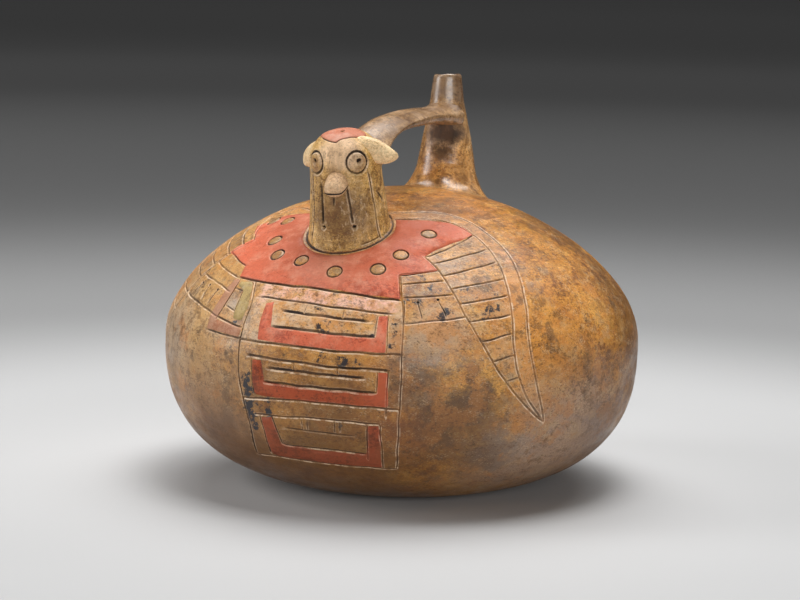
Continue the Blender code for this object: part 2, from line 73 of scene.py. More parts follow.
class Chart:
    """Flat, angle-true chart of a turned surface, unrolled from its apex."""

    def __init__(self, reach: np.ndarray, level: np.ndarray) -> None:
        """Keep the outline and measure it.

        Args:
            reach: distances from the axis, from the apex to the foot, in mm.
            level: heights of the same points, in mm.
        """
        self.reach = reach
        self.level = level
        steps = np.hypot(np.diff(reach), np.diff(level))
        self.run = np.concatenate([[0.0], np.cumsum(steps)])
        middle = 0.5 * (reach[2:] + reach[1:-1])
        grow = np.cumsum(steps[1:] / middle)
        self.log = math.log(self.run[1]) + np.concatenate([[0.0], grow])
        self.slope_reach = np.gradient(reach, self.run)
        self.slope_level = np.gradient(level, self.run)

    def reach_at(self, run: np.ndarray) -> np.ndarray:
        """Distance from the axis at a run down from the apex."""
        return np.interp(run, self.run, self.reach)

    def run_at(self, level: np.ndarray) -> np.ndarray:
        """Run down from the apex at a height."""
        return np.interp(-np.asarray(level, float), -self.level, self.run)

    def spread(self, turn: np.ndarray, run: np.ndarray) -> np.ndarray:
        """Chart places of points.

        Args:
            turn: angles round the axis, in radians.
            run: runs down from the apex, in mm.

        Returns:
            An array of two columns.
        """
        far = np.exp(np.interp(run, self.run[1:], self.log))
        far = np.where(run < self.run[1], run, far)
        return np.stack([far * np.sin(turn), -far * np.cos(turn)], axis=1)

    def gather(self, flat: np.ndarray) -> tuple[np.ndarray, np.ndarray]:
        """Turn and run of chart places, the reverse of spread.

        Args:
            flat: chart places, two columns.

        Returns:
            Turns in radians, and runs in mm.
        """
        far = np.hypot(flat[:, 0], flat[:, 1])
        run = np.interp(np.log(np.maximum(far, 1e-9)), self.log, self.run[1:])
        run = np.where(far < self.run[1], far, run)
        return np.arctan2(flat[:, 0], -flat[:, 1]), run

    def place(self, turn: np.ndarray, run: np.ndarray) -> np.ndarray:
        """Points in space at turns and runs, in mm."""
        return round_axis(turn, self.reach_at(run), np.interp(run, self.run, self.level))

    def outward(self, turn: np.ndarray, run: np.ndarray) -> np.ndarray:
        """Unit normals of the surface.

        Args:
            turn: angles round the axis, in radians.
            run: runs down from the apex, in mm.

        Returns:
            An array of three columns.
        """
        across = -np.interp(run, self.run, self.slope_level)
        along = np.interp(run, self.run, self.slope_reach)
        size = np.hypot(across, along)
        return round_axis(turn, across / size, along / size)


def round_axis(turn: np.ndarray, reach: np.ndarray, level: np.ndarray) -> np.ndarray:
    """Points in space at angles round an axis, where the front is at 0."""
    return np.stack(np.broadcast_arrays(reach * np.sin(turn), -reach * np.cos(turn), level), axis=1)


def circle(count: int) -> np.ndarray:
    """Even angles once round, in radians."""
    return np.linspace(0.0, 2 * math.pi, count, endpoint=False)


def squared(wave: np.ndarray, power: float) -> np.ndarray:
    """Sine or cosine raised to a power, with its sign kept."""
    return np.sign(wave) * np.abs(wave) ** power


def settle(low: float, high: float, over: Callable[[float], bool]) -> float:
    """Level where a test turns true, closed in on by halves.

    Args:
        low: level where it is false.
        high: level where it is true.
        over: the test.

    Returns:
        The level.
    """
    for _ in range(30):
        middle = 0.5 * (low + high)
        low, high = (low, middle) if over(middle) else (middle, high)
    return middle


def tree_of(points: np.ndarray) -> kdtree.KDTree:
    """Search tree for the point nearest to a place.

    Args:
        points: three columns.

    Returns:
        The tree, which gives rows of those points.
    """
    tree = kdtree.KDTree(len(points))
    for index, point in enumerate(points):
        tree.insert(point, index)
    tree.balance()
    return tree


def ripple(points: np.ndarray, length: float, seed: float) -> np.ndarray:
    """Smooth noise between about -1 and 1.

    Args:
        points: places in mm, three columns.
        length: size of the ripples, in mm.
        seed: shift that makes one ripple unlike another.

    Returns:
        One value per point.
    """
    scaled = points / length + seed
    return np.array([noise.noise(Vector(p)) for p in scaled])


def sway(along: np.ndarray, seed: float, other: float) -> np.ndarray:
    """Smooth noise along a line, unlike that of other seeds."""
    return np.array([noise.noise(Vector((spot, seed, other))) for spot in along])


def inside(points: np.ndarray, outline: np.ndarray) -> np.ndarray:
    """Which flat points lie inside a closed outline.

    Args:
        points: two columns.
        outline: corners of the outline, two columns.

    Returns:
        A truth value for each point.
    """
    result = np.zeros(len(points), bool)
    low, high = outline.min(0), outline.max(0)
    near = np.all((points >= low) & (points <= high), axis=1)
    x, y = points[near, 0], points[near, 1]
    hit = np.zeros(len(x), bool)
    for (x0, y0), (x1, y1) in zip(outline, np.roll(outline, -1, axis=0)):
        if y0 != y1:
            crosses = (y0 > y) != (y1 > y)
            hit ^= crosses & (x < (x1 - x0) * (y - y0) / (y1 - y0) + x0)
    result[near] = hit
    return result


def vertex_normals(points: np.ndarray, faces: np.ndarray) -> np.ndarray:
    """Unit normals of a mesh, weighted by area.

    Args:
        points: three columns.
        faces: triangles as rows of three indices.

    Returns:
        A normal for each point.
    """
    a, b, c = points[faces[:, 0]], points[faces[:, 1]], points[faces[:, 2]]
    flat = np.cross(b - a, c - a)
    normals = np.zeros_like(points)
    for corner in range(3):
        np.add.at(normals, faces[:, corner], flat)
    length = np.linalg.norm(normals, axis=1, keepdims=True)
    return normals / np.maximum(length, 1e-12)


@dataclass(frozen=True)
class Cut:
    """One incised line through points of (degrees round the axis, level), with sizes in mm."""

    points: Points
    width: float = 1.0
    depth: float = 0.5
    dirt: float = 0.85
    chalk: float = 0.5
    closed: bool = False
    curved: bool = False
    shake: float = 0.3
    fade: float = 1.5


@dataclass(frozen=True)
class Punch:
    """One punched hole at (degrees round the axis, level), with sizes in mm."""

    turn: float
    level: float
    radius: float
    depth: float
    dirt: float = 1.0
    chalk: float = 0.6


class EtchedSkin:
    """A turned clay surface meshed so that its incised lines are real grooves.

    Lengths along a line are in mm: between its samples, of its steady ends, and of a hand's swing
    and change of pressure. Lengths across it are in half its width: of its outer rows of mesh and
    of all that it marks. Lengths on the plain clay are in its spacing: between rows, and off a line.
    """

    SAMPLE = 0.2
    STEADY = 3.0
    SWING = 9.0
    PRESSURE = 11.0
    BROAD = 1.9
    CLEAR = 2.6
    ROW_GAP = 0.87
    LINE_GAP = 0.62
    LIP_RISE = 0.2

    def __init__(self, chart: Chart, spacing: float, turn: float = 0.0, step: float = 1.25) -> None:
        """Start an unmarked skin.

        Args:
            chart: outline of the surface.
            spacing: distance between mesh points on the plain clay, in mm.
            turn: degrees that all marks are turned round the axis.
            step: distance between mesh points along the marks, in mm.
        """
        self.chart = chart
        self.spacing = spacing
        self.turn = turn
        self.step = step
        self.flat: list[np.ndarray] = []
        self.edges: list[tuple[int, int]] = []
        self.count = 0
        self.samples: list[np.ndarray] = []
        self.traits: list[np.ndarray] = []
        self.marks = 0

    def trace(self, points: Points, closed: bool, curved: bool, shake: float, step: float) -> np.ndarray:
        """Evenly spaced run of a line, with a hand's slight shake.

        Args:
            points: corners of the line as (degrees, level).
            closed: whether it returns to its start.
            curved: whether it bends smoothly through its points.
            shake: size of the shake, in mm.
            step: distance between the new points, in mm.

        Returns:
            Two columns, turn in radians and run in mm.
        """
        corners = np.array(points, float)
        corners[:, 0] = np.radians(corners[:, 0] + self.turn)
        corners[:, 1] = self.chart.run_at(corners[:, 1])
        ring = corners
        if closed:
            home = corners[:1].copy()
            home[0, 0] += 2 * math.pi * round((corners[-1, 0] - home[0, 0]) / (2 * math.pi))
            ring = np.vstack([corners, home])
        fine = []
        for index in range(len(ring) - 1):
            share = np.linspace(0.0, 1.0, 24, endpoint=False)[:, None]
            a, b = ring[index], ring[index + 1]
            if curved:
                before = ring[index - 1] if index else (ring[-2] if closed else 2 * a - b)
                after = ring[index + 2] if index + 2 < len(ring) else (ring[1] if closed else 2 * b - a)
                bow = (2 * before - 5 * a + 4 * b - after) * share ** 2
                turn_in = (3 * a - before - 3 * b + after) * share ** 3
                fine.append(0.5 * (2 * a + (b - before) * share + bow + turn_in))
            else:
                fine.append(a + (b - a) * share)
        line = np.vstack(fine + [ring[-1:]])
        reach = self.chart.reach_at(line[:, 1])
        gaps = np.hypot(np.diff(line[:, 0]) * 0.5 * (reach[1:] + reach[:-1]), np.diff(line[:, 1]))
        length = np.concatenate([[0.0], np.cumsum(gaps)])
        count = max(int(round(length[-1] / step)), 2)
        spots = np.linspace(0.0, length[-1], count + 1)
        line = np.stack([np.interp(spots, length, line[:, 0]), np.interp(spots, length, line[:, 1])], axis=1)
        if closed:
            line = line[:-1]
            spots = spots[:-1]
        if shake:
            self.marks += 1
            ends = np.minimum(spots, spots[-1] - spots) / self.STEADY
            calm = np.ones(len(line)) if closed else np.minimum(1.0, ends)
            swing = sway(spots / self.SWING, 3.7 * self.marks, 0.0)
            line = self.shift(line, shake * calm * swing * 1.6, closed)
        return line

    def shift(self, line: np.ndarray, aside: np.ndarray, closed: bool) -> np.ndarray:
        """Move a traced line sideways over the surface.

        Args:
            line: the line, as trace gives it.
            aside: how far each point moves, in mm.
            closed: whether the line returns to its start.

        Returns:
            The moved line.
        """
        if closed:
            ahead, behind = np.roll(line, -1, axis=0), np.roll(line, 1, axis=0)
        else:
            ahead = np.vstack([line[1:], line[-1:]])
            behind = np.vstack([line[:1], line[:-1]])
        reach = np.maximum(self.chart.reach_at(line[:, 1]), 0.5)
        turn = (ahead[:, 0] - behind[:, 0] + math.pi) % (2 * math.pi) - math.pi
        forward = np.stack([turn * reach, ahead[:, 1] - behind[:, 1]], axis=1)
        forward /= np.maximum(np.linalg.norm(forward, axis=1, keepdims=True), 1e-9)
        moved = line.copy()
        moved[:, 0] += -forward[:, 1] * aside / reach
        moved[:, 1] += forward[:, 0] * aside
        return moved

    def string(self, line: np.ndarray, closed: bool) -> None:
        """Add a traced line to the mesh as a row of joined points.

        Args:
            line: the line, as trace gives it.
            closed: whether its last point is joined to its first.
        """
        self.flat.append(self.chart.spread(line[:, 0], line[:, 1]))
        last = self.count + len(line) - 1
        self.edges += [(i, i + 1) for i in range(self.count, last)]
        if closed:
            self.edges.append((last, self.count))
        self.count += len(line)

    def cut(self, mark: Cut) -> None:
        """Incise one line.

        Args:
            mark: the line.
        """
        line = self.trace(mark.points, mark.closed, mark.curved, mark.shake, self.step)
        half = 0.5 * mark.width
        for aside in (0.0, half, -half, self.BROAD * half, -self.BROAD * half):
            self.string(self.shift(line, np.full(len(line), aside), mark.closed), mark.closed)
        ends = np.vstack([line, line[:1]]) if mark.closed else line
        spots = np.arange(0.0, len(ends) - 1, self.SAMPLE / self.step)
        turns = np.interp(spots, np.arange(len(ends)), np.unwrap(ends[:, 0]))
        runs = np.interp(spots, np.arange(len(ends)), ends[:, 1])
        self.samples.append(self.chart.place(turns, runs))
        strength = np.ones(len(spots))
        if not mark.closed:
            tail = np.minimum(spots, len(ends) - 1 - spots) * self.step
            strength = 0.35 + 0.65 * np.clip(tail / mark.fade, 0.0, 1.0)
        press = sway(spots * self.step / self.PRESSURE, 1.9 * len(self.samples), 5.0)
        strength *= 0.88 + 0.3 * press
        columns = [np.full(len(spots), half), strength * mark.depth, strength * mark.dirt]
        columns.append(np.full(len(spots), mark.chalk) * (0.75 + 0.6 * press))
        self.traits.append(np.stack(columns, axis=1))

    def punch(self, mark: Punch) -> None:
        """Punch one hole.

        Args:
            mark: the hole.
        """
        turn = math.radians(mark.turn + self.turn)
        run = float(self.chart.run_at(mark.level))
        reach = float(self.chart.reach_at(run))
        self.string(np.array([[turn, run]]), False)
        around = circle(12)
        for size in (0.55, 1.0, self.BROAD):
            across, down = size * mark.radius * np.cos(around), size * mark.radius * np.sin(around)
            self.string(np.stack([turn + across / reach, run + down], axis=1), True)
        self.samples.append(self.chart.place(np.array([turn]), np.array([run])))
        self.traits.append(np.array([[mark.radius, mark.depth, mark.dirt, mark.chalk]]))

    def border(self, points: Points, curved: bool = False, shake: float = 0.15) -> np.ndarray:
        """Add the border of a painted field to the mesh.

        Args:
            points: corners of the border as (degrees, level).
            curved: whether it bends smoothly through its points.
            shake: size of the hand's shake, in mm.

        Returns:
            The border's outline on the chart.
        """
        line = self.trace(points, True, curved, shake, self.step)
        self.string(line, True)
        return self.chart.spread(line[:, 0], line[:, 1])

    def area(self, points: Points) -> np.ndarray:
        """Outline on the chart through points of (degrees, level), which leaves the mesh as it is."""
        line = self.trace(points, True, False, 0.0, 1.0)
        return self.chart.spread(line[:, 0], line[:, 1])

    def hoop(self, run: float, step: float) -> None:
        """Add a full circle to the mesh.

        Args:
            run: its run down from the apex, in mm.
            step: distance between its points, in mm.
        """
        count = max(int(round(2 * math.pi * float(self.chart.reach_at(run)) / step)), 12)
        turn = np.linspace(-math.pi, math.pi, count, endpoint=False)
        self.string(np.stack([turn, np.full(count, run)], axis=1), True)

    def fill(self) -> None:
        """Scatter even points over the plain clay, clear of the marks."""
        fixed = self.chart.place(*self.chart.gather(np.vstack(self.flat)))
        tree = tree_of(fixed)
        total = self.chart.run[-1]
        rows = int(total / (self.spacing * self.ROW_GAP))
        loose = [(0.0, 0.0)]
        for row in range(1, rows):
            run = total * row / rows
            count = max(int(round(2 * math.pi * float(self.chart.reach_at(run)) / self.spacing)), 6)
            for step in range(count):
                loose.append((2 * math.pi * (step + 0.5 * (row % 2)) / count - math.pi, run))
        spots = np.array(loose)
        places = self.chart.place(spots[:, 0], spots[:, 1])
        clear = [tree.find(p)[2] > self.LINE_GAP * self.spacing for p in places]
        spots = spots[np.array(clear)]
        self.flat.append(self.chart.spread(spots[:, 0], spots[:, 1]))
        self.count += len(spots)

    def weave(self) -> None:
        """Join all points into triangles and press the marks into the clay."""
        self.fill()
        flat = np.vstack(self.flat)
        woven = delaunay_2d_cdt([Vector(p) for p in flat], self.edges, [], 0, 1e-4, False)
        self.plan = np.array([(v.x, v.y) for v in woven[0]])
        self.faces = np.array([f for f in woven[2] if len(f) == 3], int)
        self.turns, self.runs = self.chart.gather(self.plan)
        self.clay = self.chart.place(self.turns, self.runs)
        self.middles = self.plan[self.faces].mean(axis=1)
        self.face_runs = self.chart.gather(self.middles)[1]
        count = len(self.plan)
        self.sink, self.dirt, self.chalk = np.zeros(count), np.zeros(count), np.zeros(count)
        self.groove, self.under = np.full(count, self.CLEAR), np.zeros(count)
        spots, traits = np.vstack(self.samples), np.vstack(self.traits)
        tree = tree_of(spots)
        for index, point in enumerate(self.clay):
            _, nearest, gap = tree.find(point)
            half, depth, dirt, chalk = traits[nearest]
            share = gap / half
            if share > self.CLEAR:
                continue
            # How far below the line a point lies: it widens the dark on the upper side as painted shade and
            # brightens the lower lip as painted highlight.
            drop = 1.3 * (spots[nearest][2] - point[2]) / max(gap, 0.01)
            under = max(-1.0, min(1.0, drop)) if share > 0.3 else 0.0
            self.groove[index], self.dirt[index], self.under[index] = share, dirt, under
            self.chalk[index] = min(1.0, 1.5 * chalk * (0.65 + 0.35 * under))
            if share < 1.0:
                self.sink[index] = -depth * (1.0 - share * share) ** 1.5
            else:
                lip = math.sin(math.pi * min((share - 0.55) / 2.05, 1.0))
                self.sink[index] = self.LIP_RISE * depth * max(lip, 0.0)

    def masks(self) -> dict[str, np.ndarray]:
        """Share out of the nearest groove, how far under it, dirt with painted shade, pale lips with painted
        highlight.
        """
        return {"groove": self.groove, "under": self.under, "dirt": self.dirt, "chalk": self.chalk}

    def press(self, swell: np.ndarray) -> None:
        """Set the final surface.

        Args:
            swell: hand-made unevenness along the normal at each point, in mm.
        """
        outward = self.chart.outward(self.turns, self.runs)
        self.points = self.clay + outward * (self.sink + swell)[:, None]
        self.normals = vertex_normals(self.points, self.faces)


class Slot(Enum):
    """Material slots of the record, named for the finishes of the pieces."""

    BOWL = "bowl_clay"
    DOME = "dome_clay"
    SPOUT = "spout_clay"
    STRAP = "strap_clay"
    HEAD = "head_clay"
    BEAK = "beak_clay"
    TUFT = "tuft_clay"
    RED = "red_paint"
    CROWN = "crown_paint"
    DARK_RED = "dark_red_paint"
    YELLOW = "yellow_paint"
    ROSE = "rose_paint"


def fan(faces: list) -> np.ndarray:
    """Triangles of faces with any count of corners."""
    return np.array([(f[0], f[i], f[i + 1]) for f in faces for i in range(1, len(f) - 1)])


@dataclass
class Mould:
    """Triangles of one piece before it becomes an object, in mm from the widest level."""

    points: np.ndarray
    faces: list
    normals: np.ndarray | None = None
    masks: dict[str, np.ndarray] = field(default_factory=dict)

    def volume(self) -> float:
        """Signed volume, negative where the faces look inwards."""
        a, b, c = (self.points[corner] for corner in fan(self.faces).T)
        return float(np.einsum("ij,ij->i", a, np.cross(b, c)).sum()) / 6.0

    def cast(self, name: str, material: bpy.types.Material, slot: Slot, *nodes: str) -> bpy.types.Object:
        """Make the object, and set it in the frame in place of its CAD nodes.

        Args:
            name: name of the piece.
            material: its finish.
            slot: the record's slot for that finish; not used.
            nodes: CAD nodes that it stands for.

        Returns:
            The new object.
        """
        mesh = bpy.data.meshes.new(name)
        placed = (self.points + (0.0, 0.0, EQUATOR)) * MM
        faces = [tuple(int(i) for i in face) for face in self.faces]
        if self.volume() < 0.0:
            faces = [face[::-1] for face in faces]
        mesh.from_pydata(placed.tolist(), [], faces)
        mesh.shade_smooth()
        for mask, values in self.masks.items():
            layer = mesh.attributes.new(mask, "FLOAT", "POINT")
            layer.data.foreach_set("value", np.ascontiguousarray(values, dtype=np.float32))
        if self.normals is not None:
            mesh.normals_split_custom_set_from_vertices(self.normals.tolist())
        mesh.materials.append(material)
        piece = bpy.data.objects.new(name, mesh)
        bpy.context.scene.collection.objects.link(piece)
        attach(piece, BODY)
        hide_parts(*nodes)
        LOG.info("%s: %d faces, for %s", name, len(mesh.polygons), ", ".join(nodes))
        return piece


def lattice(rows: np.ndarray, cap_start: bool = False, cap_end: bool = False, looped: bool = False) -> list:
    """Faces over a grid of points that closes round its columns.

    Args:
        rows: array of rows, columns and three coordinates.
        cap_start: whether the first row is closed by one face.
        cap_end: whether the last row is closed by one face.
        looped: whether the last row joins the first.

    Returns:
        Faces as tuples of indices into the flattened points.
    """
    count, columns = rows.shape[0], rows.shape[1]
    faces = []
    for row in range(count if looped else count - 1):
        here, below = row * columns, (row + 1) % count * columns
        for column in range(columns):
            ahead = (column + 1) % columns
            faces.append((here + column, below + column, below + ahead, here + ahead))
    if cap_start:
        faces.append(tuple(range(columns)))
    if cap_end:
        faces.append(tuple(reversed(range((count - 1) * columns, count * columns))))
    return faces


def peel(skin: EtchedSkin, keep: np.ndarray) -> tuple[np.ndarray, np.ndarray]:
    """Part of a skin, with its points renumbered.

    Args:
        skin: woven and pressed skin.
        keep: which of its faces are kept.

    Returns:
        Indices of the kept points in the skin, and the faces.
    """
    faces = skin.faces[keep]
    used, flat = np.unique(faces, return_inverse=True)
    return used, flat.reshape(faces.shape)


def rim_edges(faces: np.ndarray) -> list[tuple[int, int]]:
    """Edges that only one face uses.

    Args:
        faces: triangles as rows of three indices.

    Returns:
        Edges as (start, end), in the way that their face goes round.
    """
    edges = {}
    for a, b, c in faces:
        for start, end in ((a, b), (b, c), (c, a)):
            edges[(int(start), int(end))] = True
    return [edge for edge in edges if (edge[1], edge[0]) not in edges]


def film_mould(skin: EtchedSkin, keep: np.ndarray, thickness: float) -> Mould:
    """Closed paint film over part of a skin.

    Args:
        skin: woven and pressed skin.
        keep: which of its faces are painted.
        thickness: height of the film over the clay, in mm.

    Returns:
        The film, thinner along its border, with its underside just inside the clay.
    """
    used, faces = peel(skin, keep)
    rim = rim_edges(faces)
    lift = np.full(len(used), thickness)
    lift[sorted({edge[0] for edge in rim})] = FILM_EDGE * thickness
    normals = skin.normals[used]
    over = skin.points[used] + normals * lift[:, None]
    under = skin.points[used] - normals * FILM_ROOT
    count = len(used)
    solid = [tuple(f) for f in faces] + [tuple(count + i for i in f[::-1]) for f in faces]
    for start, end in rim:
        solid += [(end, start, count + start), (end, count + start, count + end)]
    masks = {name: np.tile(values[used], 2) for name, values in skin.masks().items()}
    return Mould(np.vstack([over, under]), solid, masks=masks)


def shell_mould(
    skin: EtchedSkin, keep: np.ndarray, edge_run: float, inner: np.ndarray, masks: dict[str, np.ndarray]
) -> Mould:
    """Closed clay wall over part of a skin that ends in a full circle.

    Args:
        skin: woven and pressed skin.
        keep: which of its faces belong to the wall.
        edge_run: run of the circle down from the apex.
        inner: outline of the wall's inside, from beside the circle to its own axis, as
            (reach, level) rows.
        masks: values for each of the skin's points.

    Returns:
        The wall, with the skin's own normals outside.
    """
    used, faces = peel(skin, keep)
    solid = [tuple(f) for f in faces]
    points = [skin.points[used]]
    on_edge = np.flatnonzero(np.abs(skin.runs[used] - edge_run) < ON_EDGE)
    order = on_edge[np.argsort(skin.turns[used][on_edge])]
    above = bool(skin.face_runs[keep].mean() < edge_run)
    turns = skin.turns[used][order]
    start = len(used)
    loop = order
    for reach, level in inner[:-1]:
        points.append(round_axis(turns, reach, level))
        fresh = np.arange(start, start + len(turns))
        for a, b, c, d in zip(loop, np.roll(loop, -1), np.roll(fresh, -1), fresh):
            solid.append((a, d, c, b) if above else (a, b, c, d))
        loop = fresh
        start += len(turns)
    points.append(np.array([[0.0, 0.0, inner[-1][1]]]))
    for a, b in zip(loop, np.roll(loop, -1)):
        solid.append((a, start, b) if above else (a, b, start))
    rim = [e for e in rim_edges(faces) if abs(skin.runs[used[e[0]]] - edge_run) > ON_EDGE]
    extra = start + 1 - len(used)
    if rim:
        level = skin.points[used][rim[0][0]][2]
        points.append(np.array([[0.0, 0.0, level]]))
        solid += [(b, a, start + 1) for a, b in rim]
        extra += 1
    every = np.vstack(points)
    smooth = vertex_normals(every, fan(solid))
    smooth[: len(used)] = skin.normals[used]
    spread = {}
    for name, values in masks.items():
        rest = values.max() if name == "groove" else 0.0
        spread[name] = np.concatenate([values[used], np.full(extra, rest)])
    return Mould(every, solid, smooth, spread)


@dataclass
class Body:
    """Round body: an upper dome and a lower bowl, luted at the widest level."""

    radius: float = 100.0
    dome_height: float = 62.0
    dome_fullness: float = 1.81
    bowl_height: float = 65.2
    bowl_fullness: float = 2.76
    base_radius: float = 40.0
    wall: float = 5.0
    spacing: float = 2.2
    swell: float = 0.55
    side_bulge: float = 1.5
    side_bulge_turn: float = -62.0

    def outline(self) -> tuple[np.ndarray, np.ndarray]:
        """Outside of the body.

        Returns:
            Reach and level, from the apex to inside the flat base's edge.
        """
        turn = np.linspace(math.pi / 2, 0.0, 220)
        power = 2.0 / self.dome_fullness
        reach = self.radius * np.cos(turn).clip(0.0) ** power
        level = self.dome_height * np.sin(turn).clip(0.0) ** power
        reach[0] = 0.0
        end = math.acos((self.base_radius / self.radius) ** (self.bowl_fullness / 2.0))
        turn = np.linspace(0.0, end, 160)[1:]
        power = 2.0 / self.bowl_fullness
        reach = np.concatenate([reach, self.radius * np.cos(turn) ** power])
        level = np.concatenate([level, -self.bowl_height * np.sin(turn) ** power])
        flat = np.linspace(self.base_radius, 0.8 * self.base_radius, 6)[1:]
        reach = np.concatenate([reach, flat])
        level = np.concatenate([level, level[-1] - 1e-4 * np.arange(1, 6)])
        return reach, level

    def level_at(self, far: np.ndarray) -> np.ndarray:
        """Height of the dome at a distance from the axis."""
        share = np.minimum(np.asarray(far, float) / self.radius, 1.0)
        return self.dome_height * (1.0 - share ** self.dome_fullness) ** (1.0 / self.dome_fullness)

    def unevenness(self, points: np.ndarray) -> np.ndarray:
        """Hand-made swell of the surface.

        Args:
            points: places on it, three columns.

        Returns:
            How far out each one moves, in mm.
        """
        calm = np.clip((points[:, 2] + EQUATOR) / 12.0, 0.0, 1.0)
        turn = np.degrees(np.arctan2(points[:, 0], -points[:, 1])) - self.side_bulge_turn
        turn = (turn + 180.0) % 360.0 - 180.0
        side = np.exp(-((turn / 38.0) ** 2) - ((points[:, 2] + 14.0) / 34.0) ** 2)
        return calm * (
            self.side_bulge * side
            + self.swell * ripple(points, 62.0, 11.3)
            + 0.22 * ripple(points * (1.0, 1.0, 1.6), 21.0, 4.1)
            + 0.05 * ripple(points * (1.0, 1.0, 2.2), 6.0, 8.6)
        )

    def inner_outline(self, skin: EtchedSkin, upper: bool) -> np.ndarray:
        """Inside of the wall.

        Args:
            skin: the body's skin.
            upper: whether the dome's wall is wanted, or else the bowl's.

        Returns:
            Rows of (reach, level) from the widest level to the axis.
        """
        chart = skin.chart
        edge = float(chart.run_at(0.0))
        last = chart.run[-1] - 0.2 * self.base_radius
        runs = np.linspace(edge, 2.0, 14) if upper else np.linspace(edge, last, 14)
        outward = chart.outward(np.zeros(len(runs)), runs)
        places = chart.place(np.zeros(len(runs)), runs)
        reach = -(places[:, 1] - self.wall * outward[:, 1])
        level = places[:, 2] - self.wall * outward[:, 2]
        level[0] = 0.0
        return np.vstack([np.stack([reach, level], axis=1), [[0.0, level[-1]]]])


def straight(width: float, depth: float, dirt: float, chalk: float, *points: tuple[float, float]) -> Cut:
    """Straight incised line through points of (degrees, level), with the traits of a Cut."""
    return Cut(points, width, depth, dirt, chalk)


def bent(width: float, depth: float, dirt: float, chalk: float, *points: tuple[float, float]) -> Cut:
    """Smoothly bending incised line through points of (degrees, level)."""
    return Cut(points, width, depth, dirt, chalk, curved=True)


def ringed(width: float, depth: float, dirt: float, chalk: float, shake: float, points: Points) -> Cut:
    """Incised ring, bending smoothly through points of (degrees, level)."""
    return Cut(points, width, depth, dirt, chalk, True, True, shake)


def between(rows: tuple[Points, ...], shares: tuple[float, ...]) -> list[tuple[Points, float]]:
    """Outlines of the cells between rows, with the share of a smudge that is left in each.

    Args:
        rows: lines that bound the cells, in order.
        shares: the shares, where nothing is left of a smudge at 0.

    Returns:
        Outlines and shares.
    """
    trios = zip(rows, rows[1:], shares)
    return [(above + below[::-1], share) for above, below, share in trios if share]


@dataclass
class Wing:
    """Folded wing on one side: a plain band, a row of feathers and the shoulder beside them."""

    mirrored: bool = False
    gap: float = 15.5

    OUTER = (
        (10.0, 55.4), (27.9, 55.8), (43.1, 55.3), (53.9, 52.5), (58.1, 47.5), (58.4, 41.0), (56.2, 31.9),
        (53.9, 21.4), (52.3, 10.5), (53.1, -2.2), (55.2, -13.9), (57.1, -22.8),
    )
    INNER = (
        (13.5, 53.5), (31.0, 53.7), (41.5, 53.0), (49.3, 49.5), (52.1, 44.8), (52.5, 38.8), (51.0, 30.1),
        (49.2, 19.8), (48.0, 8.6), (48.8, -1.7), (51.4, -11.6), (56.1, -21.5),
    )
    EDGE = (
        (28.0, 41.4), (31.7, 37.0), (34.7, 29.4), (37.3, 19.7), (39.9, 11.4), (42.4, 3.6), (45.8, -5.0),
        (49.9, -13.2), (54.4, -19.9), (56.9, -22.8),
    )
    FEATHERS = (
        ((28.4, 41.5), (50.3, 48.4)), ((31.0, 39.4), (51.3, 43.7)), ((32.8, 35.2), (51.6, 39.2)),
        ((34.6, 30.6), (51.0, 33.4)), ((36.2, 25.2), (50.0, 27.6)), ((37.8, 18.6), (48.9, 20.6)),
        ((40.0, 11.2), (48.0, 13.6)), ((42.5, 3.3), (48.0, 5.3)), ((45.8, -5.0), (49.2, -3.4)),
    )
    SMUDGES = (0.1, 0.75, 0.0, 0.8, 0.4, 0.05, 0.1, 0.25)

    def side(self, points: Points) -> Points:
        """Points on this wing's side of the body.

        Args:
            points: points of (degrees, level) on the left wing.

        Returns:
            The same, mirrored for the right wing.
        """
        if not self.mirrored:
            return points
        return tuple((-turn - self.gap, level) for turn, level in points)

    def cuts(self) -> list[Cut]:
        """Every incised line of the wing.

        Returns:
            The lines, in the order that they are cut in.
        """
        width = 1.2 if self.mirrored else 1.0
        lines = [bent(width, 0.45, 0.55, 1.0, *self.side(p)) for p in (self.OUTER, self.INNER, self.EDGE)]
        return lines + [straight(0.9, 0.45, 0.8, 0.55, *self.side(p)) for p in self.FEATHERS]

    def field(self) -> Points:
        """Outline of the feathers and their band."""
        return self.side(self.OUTER + self.EDGE[::-1])

    def band(self) -> Points:
        """Outline of the band along the feathers."""
        return self.side(self.OUTER + self.INNER[::-1])

    def cells(self) -> list[tuple[Points, float]]:
        """Outlines of the smudged feathers, with how much of the smudge is left on each."""
        return between(tuple(self.side(p) for p in self.FEATHERS), self.SMUDGES)


